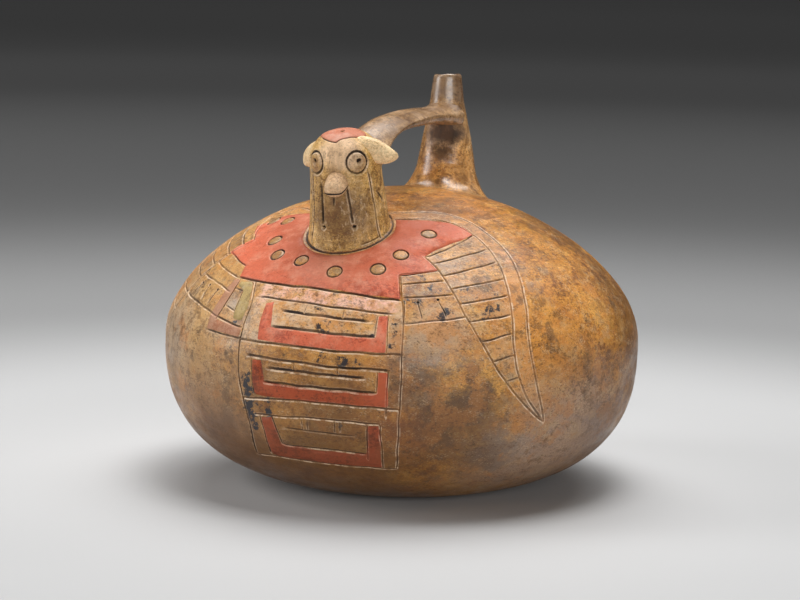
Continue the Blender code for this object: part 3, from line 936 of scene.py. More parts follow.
@dataclass
class Breast:
    """Column of three stepped panels down the breast, with the lines round them."""

    FRAME = (
        bent(
            1.0, 0.5, 0.85, 0.5, (-20.1, 12.4), (-19.9, 7.4), (-19.9, -5.3), (-18.8, -15.6), (-18.1, -23.0),
            (-18.1, -31.7), (-19.4, -40.2),
        ),
        straight(0.8, 0.5, 0.6, 0.9, (21.4, 26.0), (21.3, 6.0), (21.0, -16.6), (20.7, -28.6), (20.4, -41.6)),
        straight(0.7, 0.35, 0.5, 0.7, (18.1, 0.2), (18.0, -10.0), (17.8, -18.9)),
        straight(0.7, 0.35, 0.5, 0.8, (16.5, -22.6), (16.8, -31.6), (16.9, -41.5)),
        straight(1.2, 0.6, 0.95, 0.5, (-30.9, 28.9), (-19.3, 28.8), (-6.7, 29.0), (8.2, 27.7), (20.8, 26.2)),
        straight(1.1, 0.55, 0.85, 0.8, (-20.2, 7.3), (0.0, 6.8), (21.4, 6.2)),
        bent(1.0, 0.5, 0.7, 1.0, (-18.9, -16.1), (-3.6, -14.7), (8.9, -14.8), (20.9, -15.7)),
        bent(0.8, 0.35, 0.6, 0.5, (-19.4, -40.8), (-13.0, -40.6), (-3.1, -41.1), (5.1, -41.4), (20.4, -41.8)),
    )
    UPPER = (
        bent(1.0, 0.55, 0.9, 0.5, (-18.8, 23.6), (-15.4, 23.9), (-4.7, 23.4), (5.9, 22.6), (18.3, 21.3)),
        straight(1.3, 0.75, 1.0, 0.5, (-10.2, 19.8), (12.6, 18.4)),
        straight(0.7, 0.35, 0.7, 0.2, (-3.8, 22.4), (-3.9, 19.6)),
        straight(0.7, 0.35, 0.7, 0.2, (6.3, 22.0), (6.3, 19.0)),
        straight(1.3, 0.7, 1.0, 0.5, (-11.8, 13.6), (1.9, 13.3), (14.6, 12.7)),
        straight(0.7, 0.35, 0.6, 0.5, (14.6, 12.7), (15.0, 20.6)),
        straight(0.7, 0.3, 0.35, 0.5, (17.7, 21.4), (17.6, 6.6)),
    )
    MIDDLE = (
        straight(1.2, 0.65, 0.95, 0.8, (-17.2, 1.5), (0.0, 0.6), (18.3, -0.2)),
        straight(1.4, 0.8, 1.0, 0.7, (-11.2, -2.6), (0.0, -2.9), (12.6, -3.4)),
        straight(0.7, 0.35, 0.7, 0.4, (-4.3, 0.2), (-4.3, -2.6)),
        straight(0.7, 0.35, 0.7, 0.4, (6.4, -0.2), (6.4, -3.0)),
        straight(1.3, 0.7, 0.95, 0.8, (-12.2, -8.4), (0.0, -8.6), (15.6, -9.2)),
        straight(0.7, 0.3, 0.4, 0.5, (15.6, -9.2), (15.7, -1.0)),
        straight(0.8, 0.35, 0.7, 0.2, (-16.0, 0.4), (-15.9, -8.0), (-15.0, -14.6)),
    )
    LOWER = (
        bent(0.9, 0.45, 0.7, 0.9, (-15.3, -22.4), (-0.6, -21.4), (8.8, -21.4), (16.4, -22.0)),
        straight(0.9, 0.35, 0.7, 0.15, (-7.2, -26.8), (10.2, -27.4)),
        straight(0.7, 0.35, 0.6, 0.3, (-2.7, -22.4), (-2.6, -26.6)),
        straight(0.7, 0.35, 0.6, 0.5, (-1.2, -22.4), (-1.3, -26.8)),
        straight(0.7, 0.35, 0.9, 0.2, (5.7, -22.4), (5.6, -26.6)),
        straight(0.7, 0.35, 0.9, 0.3, (7.0, -22.4), (6.9, -26.2)),
        bent(0.9, 0.5, 0.85, 0.5, (-9.2, -33.9), (-7.5, -34.4), (5.0, -34.7), (12.9, -35.3)),
        straight(0.8, 0.35, 0.6, 0.6, (13.2, -37.5), (13.5, -23.0)),
        bent(0.8, 0.45, 0.85, 0.3, (-10.7, -22.4), (-10.0, -27.1), (-9.2, -33.9)),
        bent(0.8, 0.4, 0.8, 0.4, (-14.1, -22.8), (-13.7, -30.7), (-14.2, -39.4)),
    )
    TRAYS = {
        "upper_panel_paint": (
            (-13.7, 22.7), (-16.0, 21.8), (-15.5, 15.0), (-14.9, 7.9), (0.0, 7.4), (17.5, 6.9), (17.5, 20.7),
            (15.2, 20.5), (14.8, 12.3), (1.9, 12.9), (-12.0, 13.2),
        ),
        "middle_panel_paint": (
            (-13.3, 0.0), (-15.8, 0.2), (-15.7, -8.0), (-14.9, -13.6), (-12.0, -14.3), (18.2, -14.7),
            (18.2, -0.9), (15.8, -0.9), (15.7, -9.6), (0.0, -9.0), (-12.4, -8.8),
        ),
        "lower_panel_paint": (
            (-10.8, -22.8), (-13.9, -23.1), (-13.5, -30.7), (-13.9, -39.3), (-12.5, -40.2), (5.1, -41.0),
            (16.7, -41.2), (16.3, -22.5), (13.6, -22.6), (13.1, -35.6), (5.0, -35.1), (-7.6, -34.8),
            (-9.5, -34.0), (-10.2, -27.1),
        ),
    }
    GROUND = (
        (-22.6, 28.7), (-20.0, 10.0), (-18.0, -26.0), (-19.4, -40.5), (20.4, -41.6), (21.2, 6.0),
        (21.4, 26.0), (0.0, 28.6),
    )

    UPPER_GROUND = ((-19.6, 24.0), (18.3, 21.6), (21.3, 26.0), (21.4, 6.5), (-20.0, 7.5))
    BLUSH = (
        (-19.4, 28.6), (-6.7, 28.7), (8.2, 27.4), (20.4, 26.0), (18.3, 21.7), (5.9, 23.0), (-4.7, 23.8),
        (-15.6, 24.2), (-17.4, 20.0), (-18.6, 20.0),
    )

    def cuts(self) -> tuple[Cut, ...]:
        """Every incised line of the column."""
        return self.FRAME + self.UPPER + self.MIDDLE + self.LOWER


@dataclass
class Shoulders:
    """Feather cells at the shoulders and the pendant on the bird's right."""

    LEFT = (
        straight(0.9, 0.5, 0.85, 0.7, (20.0, 35.0), (31.2, 36.9)),
        straight(0.9, 0.5, 0.85, 0.5, (20.9, 31.9), (32.6, 33.4)),
        straight(0.9, 0.5, 0.85, 0.5, (21.2, 27.2), (34.6, 28.6)),
        straight(0.9, 0.5, 0.7, 0.5, (21.5, 17.8), (36.8, 20.4)),
        straight(0.8, 0.5, 0.5, 0.8, (20.2, 34.8), (20.9, 26.4), (21.5, 17.8)),
        straight(0.7, 0.4, 0.85, 0.5, (25.0, 25.1), (25.9, 19.8)),
        straight(0.7, 0.4, 0.85, 0.5, (30.4, 26.2), (32.0, 20.5)),
    )
    RIGHT = (
        straight(1.0, 0.5, 0.6, 0.8, (-51.4, 18.5), (-35.4, 15.4), (-30.5, 13.8)),
        straight(0.9, 0.5, 0.5, 0.7, (-50.7, 26.9), (-36.9, 25.2), (-30.3, 23.4)),
        straight(0.9, 0.5, 0.5, 0.8, (-49.6, 32.0), (-31.4, 28.9)),
        straight(0.9, 0.5, 0.8, 0.4, (-48.8, 36.4), (-32.4, 33.2)),
        straight(1.0, 0.5, 1.0, 0.5, (-46.7, 23.2), (-46.6, 20.9)),
        straight(1.0, 0.5, 1.0, 0.5, (-41.8, 23.3), (-41.5, 19.4)),
        straight(1.1, 0.6, 1.0, 0.5, (-36.2, 22.5), (-36.8, 17.5)),
    )
    PENDANT = (
        straight(0.8, 0.35, 0.6, 0.5, (-29.6, 28.2), (-29.0, 22.7), (-29.6, 17.3), (-30.4, 12.6)),
        bent(0.9, 0.45, 0.7, 0.8, (-23.1, 28.2), (-20.9, 22.6), (-20.3, 18.1), (-20.1, 12.4)),
        straight(1.0, 0.5, 0.9, 0.7, (-30.4, 13.8), (-20.6, 11.6)),
        straight(0.9, 0.45, 0.9, 0.4, (-32.4, 8.2), (-20.2, 7.3)),
        straight(0.8, 0.5, 0.9, 0.5, (-28.9, 25.0), (-25.7, 24.7)),
        straight(0.8, 0.5, 0.7, 0.7, (-28.9, 18.4), (-25.0, 17.1)),
        straight(0.8, 0.5, 0.9, 0.5, (-25.6, 24.4), (-24.9, 17.1)),
    )
    PUNCHES = (
        Punch(25.0, 25.6, 0.75, 0.6),
        Punch(30.3, 26.7, 0.75, 0.6),
        Punch(-46.7, 23.6, 0.85, 0.7),
        Punch(-41.8, 23.7, 0.85, 0.7),
        Punch(-36.2, 22.9, 0.85, 0.7),
    )
    HOOK = (
        (-28.4, 26.0), (-28.8, 27.6), (-24.2, 28.2), (-22.6, 25.7), (-21.1, 19.2), (-21.3, 14.0),
        (-24.4, 14.2), (-25.1, 18.4), (-25.4, 24.3), (-26.4, 25.2),
    )
    BORDER = (
        (-31.9, 28.0), (-32.6, 20.0), (-33.0, 13.0), (-32.6, 8.6), (-20.6, 7.9), (-20.6, 11.0), (-30.2, 13.0),
        (-29.8, 17.3), (-29.2, 22.7), (-29.8, 28.2),
    )

    ASH = ((-28.9, 25.0), (-25.7, 24.7), (-24.9, 17.1), (-28.9, 18.4))
    SMUDGES = (0.3, 0.7, 0.3)

    def cells(self) -> list[tuple[Points, float]]:
        """Outlines of the smudged cells on the left, with how much of the smudge is left on each."""
        return between(tuple(row.points for row in self.LEFT), self.SMUDGES)

    def cuts(self) -> tuple[Cut, ...]:
        """Every incised line of the shoulders and pendant."""
        return self.LEFT + self.RIGHT + self.PENDANT


@dataclass
class Collar:
    """Red collar round the neck, with bare discs left in it."""

    disc_radius: float = 3.1
    disc_gap: float = 0.25

    OUTLINE = (
        (-30.9, 29.2), (-19.3, 29.2), (-6.7, 29.5), (8.2, 28.2), (20.4, 26.7), (19.8, 35.2), (31.2, 37.1),
        (28.1, 41.5), (32.4, 43.8), (39.3, 46.0), (50.3, 48.3), (49.0, 50.6), (44.5, 52.3), (32.0, 53.3),
        (14.0, 53.4), (-4.0, 53.0), (-22.0, 53.4), (-40.0, 52.6), (-51.0, 50.9), (-53.4, 49.0),
        (-56.2, 47.1), (-60.0, 45.1), (-50.7, 43.6), (-45.2, 42.2), (-47.0, 40.2), (-48.8, 38.0),
        (-48.6, 36.0), (-40.0, 34.8), (-32.6, 33.2),
    )
    DISCS = (
        (-53.0, 57.6), (-42.5, 55.0), (-32.0, 67.0), (-23.8, 73.5), (-12.9, 74.6), (0.2, 78.2), (13.2, 75.9),
        (20.0, 68.6), (31.2, 55.6),
    )
    CORNER = straight(0.8, 0.35, 0.4, 0.8, (20.4, 26.6), (19.8, 35.2), (31.2, 37.1))
    BACK = bent(0.8, 0.35, 0.3, 0.9, (50.3, 48.3), (49.0, 50.6), (44.5, 52.3), (32.0, 53.4), (15.5, 53.4))

    def disc(self, body: Body, turn: float, far: float, radius: float) -> Points:
        """Round outline on the dome.

        Args:
            body: the body.
            turn: degrees of its centre round the axis.
            far: distance of its centre from the axis.
            radius: its radius.

        Returns:
            Points as (degrees, level).
        """
        centre = np.array([far * math.sin(math.radians(turn)), -far * math.cos(math.radians(turn))])
        slope = float(body.level_at(far - 1.0) - body.level_at(far + 1.0)) / 2.0
        outward = centre / far
        across = np.array([-outward[1], outward[0]])
        points = []
        for around in circle(DISC_POINTS):
            away = outward * (math.cos(around) / math.hypot(1.0, slope)) + across * math.sin(around)
            spot = centre + radius * away
            reach = float(np.hypot(*spot))
            points.append((math.degrees(math.atan2(spot[0], -spot[1])), float(body.level_at(reach))))
        return tuple(points)


@dataclass
class Residue:
    """Crusts of old blue-black paint left on the clay, as (degrees, level, reach in mm, strength)."""

    SPOTS = (
        (2.6, 27.4, 3.0, 0.7), (-0.4, 21.9, 3.5, 0.6), (2.1, 15.2, 4.5, 0.85), (7.0, 15.8, 4.0, 0.6),
        (14.1, 12.8, 2.5, 0.7), (18.8, 16.9, 2.8, 0.85), (18.6, 9.8, 2.5, 0.7), (2.7, 3.8, 4.0, 0.75),
        (7.7, 2.3, 4.0, 0.85), (10.5, 2.3, 3.5, 0.7), (-17.3, -5.9, 3.0, 0.8), (-17.4, -10.0, 3.5, 1.0),
        (-17.1, -13.0, 4.0, 1.0), (-16.8, -17.0, 3.0, 0.9), (-17.5, -19.0, 3.5, 1.0),
        (-16.7, -23.1, 3.5, 1.0), (-16.3, -27.4, 3.2, 0.9), (-13.7, -17.9, 3.0, 0.8),
        (-11.2, -16.0, 3.0, 0.8), (-11.4, -19.8, 3.5, 0.9), (-11.0, -22.4, 3.0, 0.7),
        (7.0, -22.6, 3.0, 0.7), (-49.6, 28.3, 3.0, 0.7), (-35.0, 24.0, 2.5, 0.6), (26.4, 34.5, 2.6, 0.85),
        (29.0, 31.0, 3.4, 0.7), (31.4, 29.7, 3.0, 0.8), (22.0, 26.4, 2.5, 0.8), (25.3, 25.6, 2.6, 0.8),
        (32.4, 22.4, 3.0, 0.9), (30.6, 20.6, 3.0, 0.8), (34.1, 39.3, 3.5, 0.5), (46.8, 41.2, 4.0, 0.5),
        (38.7, 30.5, 4.5, 0.65), (46.0, 29.7, 4.5, 0.6), (43.8, 22.5, 3.2, 1.0), (41.7, 20.3, 3.0, 0.85),
        (46.2, 23.0, 3.0, 0.8), (50.5, 18.8, 2.0, 0.7), (53.7, 40.0, 2.5, 0.5), (19.2, 13.4, 2.4, 0.8),
        (-23.0, 13.0, 2.2, 0.8), (-26.0, 8.5, 2.0, 0.6),
    )

    def mask(self, skin: EtchedSkin) -> np.ndarray:
        """How much crust is left.

        Args:
            skin: woven skin.

        Returns:
            A share for each of its points.
        """
        left = np.zeros(len(skin.clay))
        for turn, level, reach, strength in self.SPOTS:
            spot = skin.chart.place(np.radians([turn + skin.turn]), skin.chart.run_at(np.array([level])))
            gap = np.linalg.norm(skin.clay - spot, axis=1) / reach
            left = np.maximum(left, strength * np.clip(1.4 - gap, 0.0, 1.0))
        return left


@dataclass
class Head:
    """Hollow neck and face, leaning forward, with its crown slab."""

    forward: float = 52.5
    aside: float = -0.4
    lean: float = 11.0
    length: float = 41.0
    foot_radius: float = 16.8
    brow_radius: float = 14.5
    brow_level: float = 28.0
    fullness: float = 2.3
    neck_flare: float = 1.5
    root: float = -14.0
    crown_radius: float = 10.5
    vent_radius: float = 1.0
    spacing: float = 0.95
    step: float = 0.7

    EYES = ((-30.5, 30.2, 4.55), (47.0, 30.6, 4.55))
    PUPILS = ((-31.5, 30.6), (50.2, 30.9))
    TEARS = ((-12.6, 4.2), (34.0, 4.4))
    VENT = (20.7, 40.92)
    PEAK = (
        (-47.6, 38.9), (-20.0, 38.75), (9.0, 38.3), (14.0, 38.9), (24.0, 39.3), (50.0, 39.55), (84.0, 38.7),
    )
    LINES = (
        bent(1.9, 1.2, 1.0, 0.1, (-17.8, 22.0), (-16.2, 13.4), (-14.9, 5.6)),
        bent(1.25, 0.8, 0.95, 0.5, (27.0, 20.9), (29.9, 13.4), (32.3, 6.3)),
        bent(1.4, 0.9, 1.0, 0.5, (-39.0, 25.4), (-38.5, 18.0), (-38.0, 10.0), (-37.5, 3.6), (-41.0, -3.0)),
        bent(1.0, 0.55, 0.75, 0.9, (64.5, 27.0), (67.5, 22.0), (70.0, 14.0), (71.0, 2.0), (76.0, -5.0)),
        straight(1.2, 0.8, 1.0, 0.1, (5.4, 17.4), (5.1, 12.9)),
        straight(1.0, 0.5, 1.0, 0.4, (79.0, 17.0), (92.0, 12.3)),
        straight(0.8, 0.35, 0.6, 0.6, (42.0, -3.0), (72.0, -1.4)),
        straight(0.7, 0.35, 0.8, 0.2, *PEAK),
    )
    CAP = (
        (-47.6, 38.95), (-20.0, 38.8), (9.0, 38.4), (14.0, 39.0), (24.0, 39.4), (50.0, 39.6), (84.0, 38.75),
        (104.0, 38.6), (128.0, 39.5), (180.0, 40.3), (232.0, 39.5), (262.0, 38.7), (288.0, 38.7),
    )
    HOLLOW = ((9.0, 33.2), (9.5, 20.0), (9.5, -10.0), (0.0, -10.0))
    CEILING = ((9.0, 33.0), (0.0, 33.0))

    def outline(self) -> tuple[np.ndarray, np.ndarray]:
        """Outside of the head along its own axis.

        Returns:
            Reach and level, from the apex to the root in the dome.
        """
        turn = np.linspace(math.pi / 2, 0.0, 90)
        power = 2.0 / self.fullness
        reach = self.brow_radius * np.cos(turn).clip(0.0) ** power
        reach[0] = 0.0
        level = self.brow_level + (self.length - self.brow_level) * np.sin(turn).clip(0.0) ** power
        down = np.linspace(self.brow_level, self.root, 80)[1:]
        flare = (1.0 - down / self.brow_level) ** self.neck_flare
        neck = self.brow_radius + (self.foot_radius - self.brow_radius) * flare
        return np.concatenate([reach, neck]), np.concatenate([level, down])

    def seat(self, body: Body) -> Matrix:
        """Place of the head's foot on the dome."""
        rise = Matrix.Translation((self.aside, -self.forward, float(body.level_at(self.forward))))
        return rise @ Matrix.Rotation(math.radians(self.lean), 4, "X")

    def joint(self, body: Body, outset: float) -> Points:
        """Line where the neck meets the dome.

        Args:
            body: body that the neck stands on.
            outset: how far out over the dome the line is set, in mm.

        Returns:
            Points as (degrees, level).
        """
        seat = self.seat(body)
        reach, level = self.outline()

        def spot_at(around: float, height: float) -> Vector:
            """Place on the neck, set out."""
            wide = float(np.interp(-height, -level, reach)) + outset
            return seat @ Vector((wide * math.sin(around), -wide * math.cos(around), height))

        def over(around: float, height: float) -> bool:
            """Whether that place lies over the dome."""
            spot = spot_at(around, height)
            return spot.z > float(body.level_at(math.hypot(spot.x, spot.y)))

        points = []
        for around in circle(40):
            spot = spot_at(around, settle(self.root, 14.0, partial(over, around)))
            points.append((math.degrees(math.atan2(spot.x, -spot.y)) - DECOR_TURN, spot.z))
        return tuple(points)

    def skin(self) -> EtchedSkin:
        """Meshed face, neck and crown with their marks.

        Returns:
            The skin, woven and pressed, in the head's own frame.
        """
        chart = Chart(*self.outline())
        skin = EtchedSkin(chart, self.spacing, step=self.step)
        for eye in self.EYES:
            skin.cut(ringed(1.15, 0.95, 1.0, 0.6, 0.08, self.disc(chart, *eye)))
        for pupil in self.PUPILS:
            skin.punch(Punch(*pupil, 1.25, 1.8, chalk=0.2))
        for tear in self.TEARS:
            skin.punch(Punch(*tear, 0.95, 1.5, chalk=0.5))
        for mark in self.LINES:
            skin.cut(mark)
        skin.punch(Punch(*self.VENT, self.vent_radius, 1.6, chalk=0.1))
        self.cap = skin.border(self.CAP, shake=0.1)
        self.vent = skin.border(self.disc(chart, *self.VENT, self.vent_radius), True, 0.0)
        self.crown_run = float(np.interp(self.crown_radius, chart.reach[:90], chart.run[:90]))
        skin.hoop(self.crown_run, 0.8)
        skin.weave()
        skin.press(0.22 * ripple(skin.clay, 11.0, 3.2) + 0.06 * ripple(skin.clay, 3.6, 7.7))
        return skin

    def disc(self, chart: Chart, turn: float, level: float, radius: float) -> Points:
        """Round outline on the face.

        Args:
            chart: the head's chart.
            turn: degrees of its centre round the head.
            level: height of its centre.
            radius: its radius.

        Returns:
            Points as (degrees, level).
        """
        run = float(chart.run_at(level))
        reach = float(chart.reach_at(run))
        points = []
        for around in circle(DISC_POINTS):
            down = run - radius * math.cos(around)
            aside = math.degrees(radius * math.sin(around) / reach)
            points.append((turn + aside, float(np.interp(down, chart.run, chart.level))))
        return tuple(points)


def upright(mould: Mould, place: Matrix) -> Mould:
    """Move a mould from its own frame into the vessel's.

    Args:
        mould: the mould.
        place: its own frame.

    Returns:
        The same mould, moved.
    """
    turn = np.array(place.to_3x3())
    mould.points = mould.points @ turn.T + np.array(place.translation)
    if mould.normals is not None:
        mould.normals = mould.normals @ turn.T
    return mould


@dataclass
class Spout:
    """Tapered spout on the dome behind the body's axis, and the clay smoothed round its foot."""

    back: float = 38.8
    bore: float = 4.0
    columns: int = 96
    lip_level: float = 105.5
    fillet_height: float = 17.0
    fillet_width: float = 9.0
    fillet_depth: float = 2.0

    OUTER = (
        (107.5, 5.5), (107.1, 5.95), (106.2, 6.2), (102.0, 6.7), (96.0, 7.4), (90.0, 8.6), (82.0, 10.1),
        (74.5, 11.5), (68.0, 12.7), (60.0, 14.1), (50.0, 15.9), (45.0, 16.8),
    )
    LIP = ((106.6, 4.15), (107.4, 4.7))

    def radius_at(self, level: np.ndarray, first: int = 2) -> np.ndarray:
        """Outer radius at a height over the widest level, from one of the rows down."""
        rows = np.array(self.OUTER[first:])[::-1]
        return np.interp(level, rows[:, 0], rows[:, 1])

    def uneven(self, around: np.ndarray, level: float) -> np.ndarray:
        """Hand-made unevenness of the radius.

        Args:
            around: angles round the spout.
            level: height over the widest level.

        Returns:
            What the radius gains, in mm.
        """
        spots = round_axis(around, 9.0, level)
        return 0.28 * ripple(spots, 14.0, 2.7) + 0.1 * ripple(spots * (1.0, 1.0, 0.5), 4.0, 9.2)

    def tube(self) -> Mould:
        """Closed wall of the spout, bore included.

        Returns:
            The wall.
        """
        around = circle(self.columns)
        outer = [level for level, _ in self.OUTER[:3]] + list(np.linspace(104.5, 46.0, 46))
        rows = [(level, self.radius_at(level, 0) + self.uneven(around, level)) for level in outer]
        rows += [(level, self.bore) for level in np.linspace(46.0, 104.0, 12)] + list(self.LIP)
        grid = []
        for level, wide in rows:
            dip = 0.45 * np.sin(around + 0.6) + 0.25 * np.sin(3.0 * around) if level > self.lip_level else 0.0
            grid.append(round_axis(around, wide, level + dip) + (0.0, self.back, 0.0))
        grid = np.array(grid)
        return Mould(grid.reshape(-1, 3), lattice(grid, looped=True))

    def foot(self, body: Body) -> Mould:
        """Closed ring of clay that runs smoothly from the spout into the dome.

        Args:
            body: body that the spout stands on.

        Returns:
            The ring.
        """
        around = circle(self.columns)
        shares = np.linspace(0.0, 1.0, 22)
        grid = np.zeros((len(shares) + 2, len(around), 3))

        def dome_at(away: np.ndarray, far: float) -> float:
            """Level of the dome at a distance from the spout's axis."""
            return float(body.level_at(np.hypot(*(np.array([0.0, self.back]) + away * far))))

        def over(away: np.ndarray, level: float) -> bool:
            """Whether the spout's wall at a level lies over the dome."""
            return level > dome_at(away, float(self.radius_at(level)))

        for column, turn in enumerate(around):
            away = np.array([math.sin(turn), -math.cos(turn)])
            level = settle(40.0, 62.0, partial(over, away))
            corner = np.array([float(self.radius_at(level)), level])
            raised = level + self.fillet_height
            top = np.array([float(self.radius_at(raised)) - 0.5, raised])
            far = corner[0] + self.fillet_width
            end = np.array([far, dome_at(away, far) - 0.12])
            rows = [(1 - s) ** 2 * top + 2 * s * (1 - s) * corner + s ** 2 * end for s in shares]
            rows += [end - (1.0, self.fillet_depth), corner - self.fillet_depth]
            for row, (reach, height) in enumerate(rows):
                grid[row, column] = (reach * away[0], self.back + reach * away[1], height)
        swell = body.unevenness(grid.reshape(-1, 3))
        fade = np.concatenate([shares ** 2, [1.0, 0.5]])
        grid[:, :, 2] += swell.reshape(grid.shape[:2]) * fade[:, None]
        return Mould(grid.reshape(-1, 3), lattice(grid, looped=True))


@dataclass
class Strap:
    """Flat bridge from the back of the crown to the front of the spout, in rows of (along, size)."""

    rows: int = 80

    TOP = (
        (-54.0, 84.6), (-47.0, 87.4), (-37.5, 90.6), (-28.0, 92.7), (-17.0, 94.1), (-4.0, 94.8), (10.0, 94.8),
        (22.0, 94.6), (30.0, 95.2), (36.0, 97.4),
    )
    BREAK = (
        (-54.0, 72.0), (-46.0, 77.6), (-38.0, 83.0), (-31.0, 86.6), (-23.3, 88.9), (-10.5, 91.0), (3.5, 92.0),
        (18.0, 91.9), (27.0, 91.4), (36.0, 91.0),
    )
    BOTTOM = (
        (-54.0, 69.0), (-46.0, 75.4), (-38.0, 81.0), (-32.0, 84.3), (-23.2, 86.7), (-11.3, 87.6), (3.5, 87.9),
        (15.0, 87.8), (24.0, 87.3), (30.0, 86.4), (36.0, 84.8),
    )
    HALF = (
        (-54.0, 12.0), (-46.0, 11.4), (-38.0, 10.4), (-31.0, 9.6), (-20.0, 9.0), (0.0, 8.8), (16.0, 8.9),
        (26.0, 9.2), (36.0, 9.6),
    )

    def mould(self) -> Mould:
        """Closed strap with a crowned top, firm edges and a flat underside.

        Returns:
            The strap.
        """
        sides = np.linspace(-1.0, -0.9, 5)[:-1], np.linspace(-0.9, 0.9, 19), np.linspace(0.9, 1.0, 5)[1:]
        across = np.concatenate(sides)
        crown = 1.0 - np.abs(across) ** 2.3
        turn = np.linspace(0.0, math.pi, 22)[1:-1]
        under = squared(np.cos(turn), 0.5) * (1.0 - 0.1 * np.sin(turn))
        drop = np.sin(turn) ** 0.55
        grid = []
        for along in np.linspace(self.TOP[0][0], self.TOP[-1][0], self.rows):
            sizes = (self.TOP, self.BREAK, self.BOTTOM, self.HALF)
            top, edge, bottom, half = (smooth_at(table, along) for table in sizes)
            upper = [half * across, np.full(len(across), along), edge + (top - edge) * crown]
            lower = [half * under, np.full(len(under), along), edge - (edge - bottom) * drop]
            grid.append(np.hstack([upper, lower]).T)
        grid = np.array(grid)
        flat = grid.reshape(-1, 3)
        out = grid - grid.mean(axis=1, keepdims=True)
        out /= np.maximum(np.linalg.norm(out, axis=2, keepdims=True), 1e-6)
        wave = 0.35 * ripple(flat, 17.0, 6.4) + 0.1 * ripple(flat, 5.0, 1.4)
        grid = grid + out * wave.reshape(grid.shape[:2])[:, :, None]
        return Mould(grid.reshape(-1, 3), lattice(grid, True, True))


def smooth_at(rows: Points, spot: float) -> float:
    """Value along a table, eased between its rows by a cubic.

    Args:
        rows: rows of (spot, value).
        spot: where the value is wanted.

    Returns:
        The value.
    """
    table = np.array(rows)
    slopes = np.gradient(table[:, 1], table[:, 0])
    index = int(np.clip(np.searchsorted(table[:, 0], spot) - 1, 0, len(table) - 2))
    (x0, y0), (x1, y1) = table[index], table[index + 1]
    wide = x1 - x0
    t = (spot - x0) / wide
    return float(
        (2 * t ** 3 - 3 * t ** 2 + 1) * y0
        + (t ** 3 - 2 * t ** 2 + t) * wide * slopes[index]
        + (3 * t ** 2 - 2 * t ** 3) * y1
        + (t ** 3 - t ** 2) * wide * slopes[index + 1]
    )


@dataclass
class Beak:
    """Blunt beak of two halves, turned a little to the bird's left."""

    head: Head
    turn: float = 11.0
    mouth_level: float = 21.2
    droop: float = 12.0
    mouth_dirt: float = 0.75
    mouth_gap: float = 0.24
    root: float = 4.0
    rows: int = 34
    columns: int = 44

    UPPER = (6.4, 9.2, 5.6, 1.0, 0.4)
    LOWER = (5.6, 8.4, 2.6, -1.0, -0.3)

    def place(self) -> Matrix:
        """Middle of the mouth on the face, in the head's frame.

        Returns:
            The mouth's frame.
        """
        reach, level = self.head.outline()
        wide = float(np.interp(-self.mouth_level, -level, reach))
        turn = Matrix.Rotation(math.radians(self.turn), 4, "Z")
        droop = Matrix.Rotation(math.radians(self.droop), 4, "X")
        return turn @ Matrix.Translation((0.0, -wide, self.mouth_level)) @ droop

    def half(self, length: float, width: float, height: float, side: float, hook: float) -> Mould:
        """One half as a closed lobe, flat along the mouth.

        Args:
            length: reach in front of the face.
            width: width at the root.
            height: height over the mouth.
            side: 1.0 for the upper half and -1.0 for the lower.
            hook: drop of the tip.

        Returns:
            The lobe, in the mouth's frame.
        """
        grid = []
        cos, sin = np.cos(circle(self.columns)), np.sin(circle(self.columns))
        reach = length + self.root
        for share in np.arange(self.rows) / (self.rows - 1):
            bulge = math.sqrt(max(1.0 - (0.02 + 0.98 * share) ** 2.4, 0.0005))
            forward = -self.root + reach * math.sin(share * math.pi / 2) ** 0.9
            across = 0.5 * width * bulge * squared(cos, 0.9)
            over, under = height * bulge * np.abs(sin) ** 0.85, -0.12 * height * bulge * np.abs(sin) ** 0.5
            lift = side * (np.where(sin > 0.0, over, under) + self.mouth_gap) - hook * share ** 3
            grid.append(np.stack([across, np.full(len(cos), -forward), lift], axis=1))
        grid = np.array(grid)
        if side < 0.0:
            grid = grid[:, ::-1]
        wave = 0.12 * ripple(grid.reshape(-1, 3), 3.5, 5.5 + side)
        grid[:, :, 2] += wave.reshape(grid.shape[:2])
        drop = hook * ((grid[:, :, 1] + self.root) / -reach).clip(0.0) ** 3
        # Dark band along the mouth, between the two halves: painted shade.
        groove = (np.abs(grid[:, :, 2] + drop) / self.mouth_dirt).reshape(-1)
        masks = {"groove": groove, "dirt": np.full(len(groove), 1.0)}
        return Mould(grid.reshape(-1, 3), lattice(grid, True, True), masks=masks)


